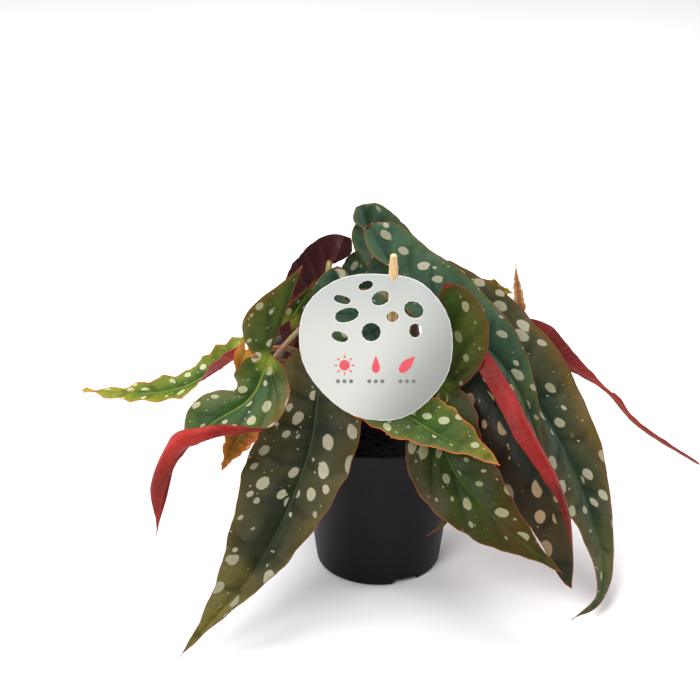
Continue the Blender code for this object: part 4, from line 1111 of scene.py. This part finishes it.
def printed(name, loops, lift, finish):
    """A printed shape on the card's face, from closed outlines of (across, up)."""
    curve = bpy.data.curves.new(name, "CURVE")
    curve.dimensions = "2D"
    curve.fill_mode = "BOTH"
    curve.extrude = PRINT_DEPTH / 2 * MM
    for points, resolution in loops:
        spline = curve.splines.new("BEZIER")
        spline.bezier_points.add(len(points) - 1)
        for knot, (across, up) in zip(spline.bezier_points, points):
            knot.co = (across * MM, up * MM, 0)
            handle = "AUTO" if resolution > 1 else "VECTOR"
            knot.handle_left_type = knot.handle_right_type = handle
        spline.use_cyclic_u = True
        spline.resolution_u = resolution
    plate = put(name, curve)
    plate.matrix_world = card_place(lift)
    mesh = final_mesh(plate)
    mesh.transform(plate.matrix_world)
    bpy.data.objects.remove(plate, do_unlink=True)
    mesh.materials.clear()
    mesh.materials.append(finish)
    on_plant(put(name, mesh))


def oval(across, up, half_length, half_height, degrees=0):
    tilt = math.radians(degrees)
    corners = []
    for index in range(4):
        angle = math.pi / 2 * index
        x, y = half_length * math.cos(angle), half_height * math.sin(angle)
        turned_x, turned_y = x * math.cos(tilt) - y * math.sin(tilt), x * math.sin(tilt) + y * math.cos(tilt)
        corners.append((across + turned_x, up + turned_y))
    return corners


def make_print_with_painted_shade():
    """The card's printed silver grey ground, under painted light and shade: pale at its lower left, greyer
    above and darkest at its lower right.
    """
    tree, given, place = new_group("print_with_painted_shade", ("Pale", "Grey", "Deep"))
    across, _, up = add("SeparateXYZ", {0: place}).outputs
    up = less(up, CARD_CENTRE.z * MM)
    shade_slant = less(across, times(up, 0.7))
    # Painted light and shade over the printed grey: paler at the lower left, greyer above, darkest at the
    # lower right
    colour = mixed(ramp(up, 0.0, 0.045), given["Pale"], given["Grey"])
    colour = mixed(ramp(shade_slant, -0.008, 0.055), colour, given["Deep"])
    grain = noise(place, 2500)
    colour = mixed(ramp(grain, 0.4, 0.6, 0.0, 0.12), colour, given["Grey"])
    return give(tree, Colour=colour, Height=grain)


def sun_symbol():
    middle = Vector((SYMBOLS_ACROSS[0], SUN_UP))
    loops = [(oval(*middle, SUN_RADIUS, SUN_RADIUS), 8)]
    for index in range(RAYS):
        angle = 2 * math.pi * index / RAYS
        ray = Vector((math.cos(angle), math.sin(angle)))
        across = Vector((-ray.y, ray.x)) * RAY_HALF_WIDTH
        base, end = middle + ray * RAY_START, middle + ray * RAY_END
        corners = [base + across, base - across, end - across * RAY_TAPER, end + across * RAY_TAPER]
        loops.append((corners, 1))
    return loops


def drop_symbol():
    """A ring of short straight steps, so that its top stays a point."""
    points = []
    for turn in (2 * math.pi * step / DROP_STEPS for step in range(DROP_STEPS)):
        across = DROP_HALF_WIDTH * math.sin(turn) * math.sin(turn / 2) ** DROP_TAPER
        points.append((SYMBOLS_ACROSS[1] + across, DROP_UP + DROP_HALF_HEIGHT * math.cos(turn)))
    return [(points, 1)]


def make_card():
    refinish("card", mottled(
        "card_board", (232, 232, 228), (226, 226, 222), (214, 214, 210), patches=60, specks=2500, bump=0.00002
    ))
    # The print's colours, with Deep as the painted shade at the card's lower right
    tones = dict(Pale=paint(204, 205, 198), Grey=paint(184, 187, 184), Deep=paint(140, 144, 138))
    silver = new_finish("card_print", make_print_with_painted_shade(), tones, bump=0.00001, roughness=0.45)
    inset = 1 - PRINT_INSET / CARD_RADIUS
    loops = [([(across * inset, up * inset) for across, up in CARD_EDGE], 16)]
    for across, up, length, height, degrees in CARD_HOLES:
        loops.append((oval(across, up, length + PRINT_INSET / 2, height + PRINT_INSET / 2, degrees), 8))
    printed("card_print", loops, PRINT_DEPTH / 2, silver)
    # Sun, drop and leaf for light, water and plant, with a row of rating dots under each
    ink = dict(patches=90, specks=2500, bump=0.00001, roughness=0.4)
    coral = mottled("coral_ink", (222, 88, 98), (214, 80, 92), (230, 110, 118), **ink)
    grey = mottled("grey_ink", (110, 116, 120), (104, 110, 114), (120, 126, 130), **ink)
    for name, loops in (("sun", sun_symbol()), ("drop", drop_symbol()), ("sprig", [(SPRIG, 8)])):
        printed(f"card_{name}_symbol", loops, INK_LIFT, coral)
    places = [middle + DOT_SPACING * step for middle in SYMBOLS_ACROSS for step in (-1, 0, 1)]
    dots = [(oval(across, DOTS_UP, DOT_RADIUS, DOT_RADIUS), 6) for across in places]
    printed("card_rating_dots", dots, INK_LIFT, grey)


make_card()


# --- Stick ---
# A turned beech stick that is pushed into the peat, with its tip tapered and rounded. Its bare wood has a
# long straight grain, and it carries the card.


def make_wood():
    tree, given, place = new_group("beech", ("Pale", "Dark"))
    stretched = add("Mapping", {"Vector": place, "Scale": (900, 900, 35)}).outputs[0]
    grain = noise(stretched, 1.0, 4.0, 0.6)
    give(tree, Colour=mixed(ramp(grain, 0.35, 0.7), given["Pale"], given["Dark"]), Height=grain)
    tones = dict(Pale=paint(222, 190, 140), Dark=paint(196, 158, 104))
    return new_finish("stick_wood", tree, tones, bump=0.00008, roughness=0.55)


refinish("stick", make_wood())


# --- Table and light ---
# A plain pale table top under large soft lamps: a broad one overhead, one at each side and one in front. The
# room gives a little light of its own.

TABLE_CORNERS = ((-4, -3, 0), (4, -3, 0), (4, 6, 0), (-4, 6, 0))
TABLE_GAP = 0.0002  # below the pot's foot
ROOM_LIGHT = 0.2


def make_table():
    top = bpy.data.meshes.new("table")
    top.from_pydata(TABLE_CORNERS, [], [(0, 1, 2, 3)])
    table = put("table", top)
    table.location.z = -TABLE_GAP
    top.materials.append(mottled(
        "table_top", (238, 238, 238), (236, 236, 236), (238, 238, 238),
        patches=2, specks=50, bump=0.00001, roughness=0.9,
    ))


def make_lamp(name, place, aim_height, size, power):
    lamp = bpy.data.lights.new(name, "AREA")
    lamp.size = size
    lamp.energy = power
    stand = put(name, lamp)
    stand.location = place
    aim = Vector((0, 0, aim_height)) - Vector(place)
    stand.rotation_euler = aim.to_track_quat("-Z", "Y").to_euler()


make_table()
make_lamp("lamp_over", (-0.2, 0.3, 1.9), aim_height=0.1, size=1.4, power=52)
make_lamp("lamp_front", (-0.9, -1.6, 1.5), aim_height=0.1, size=0.9, power=30)
make_lamp("lamp_left", (-1.6, 0.3, 0.8), aim_height=0.12, size=0.9, power=14)
make_lamp("lamp_right", (1.6, 0.2, 0.8), aim_height=0.12, size=0.9, power=14)
world = bpy.data.worlds.new("room")
world.use_nodes = True
background = world.node_tree.nodes["Background"]
background.inputs["Color"].default_value = (1, 1, 1, 1)
background.inputs["Strength"].default_value = ROOM_LIGHT
bpy.context.scene.world = world
bpy.context.scene.view_settings.view_transform = "Standard"
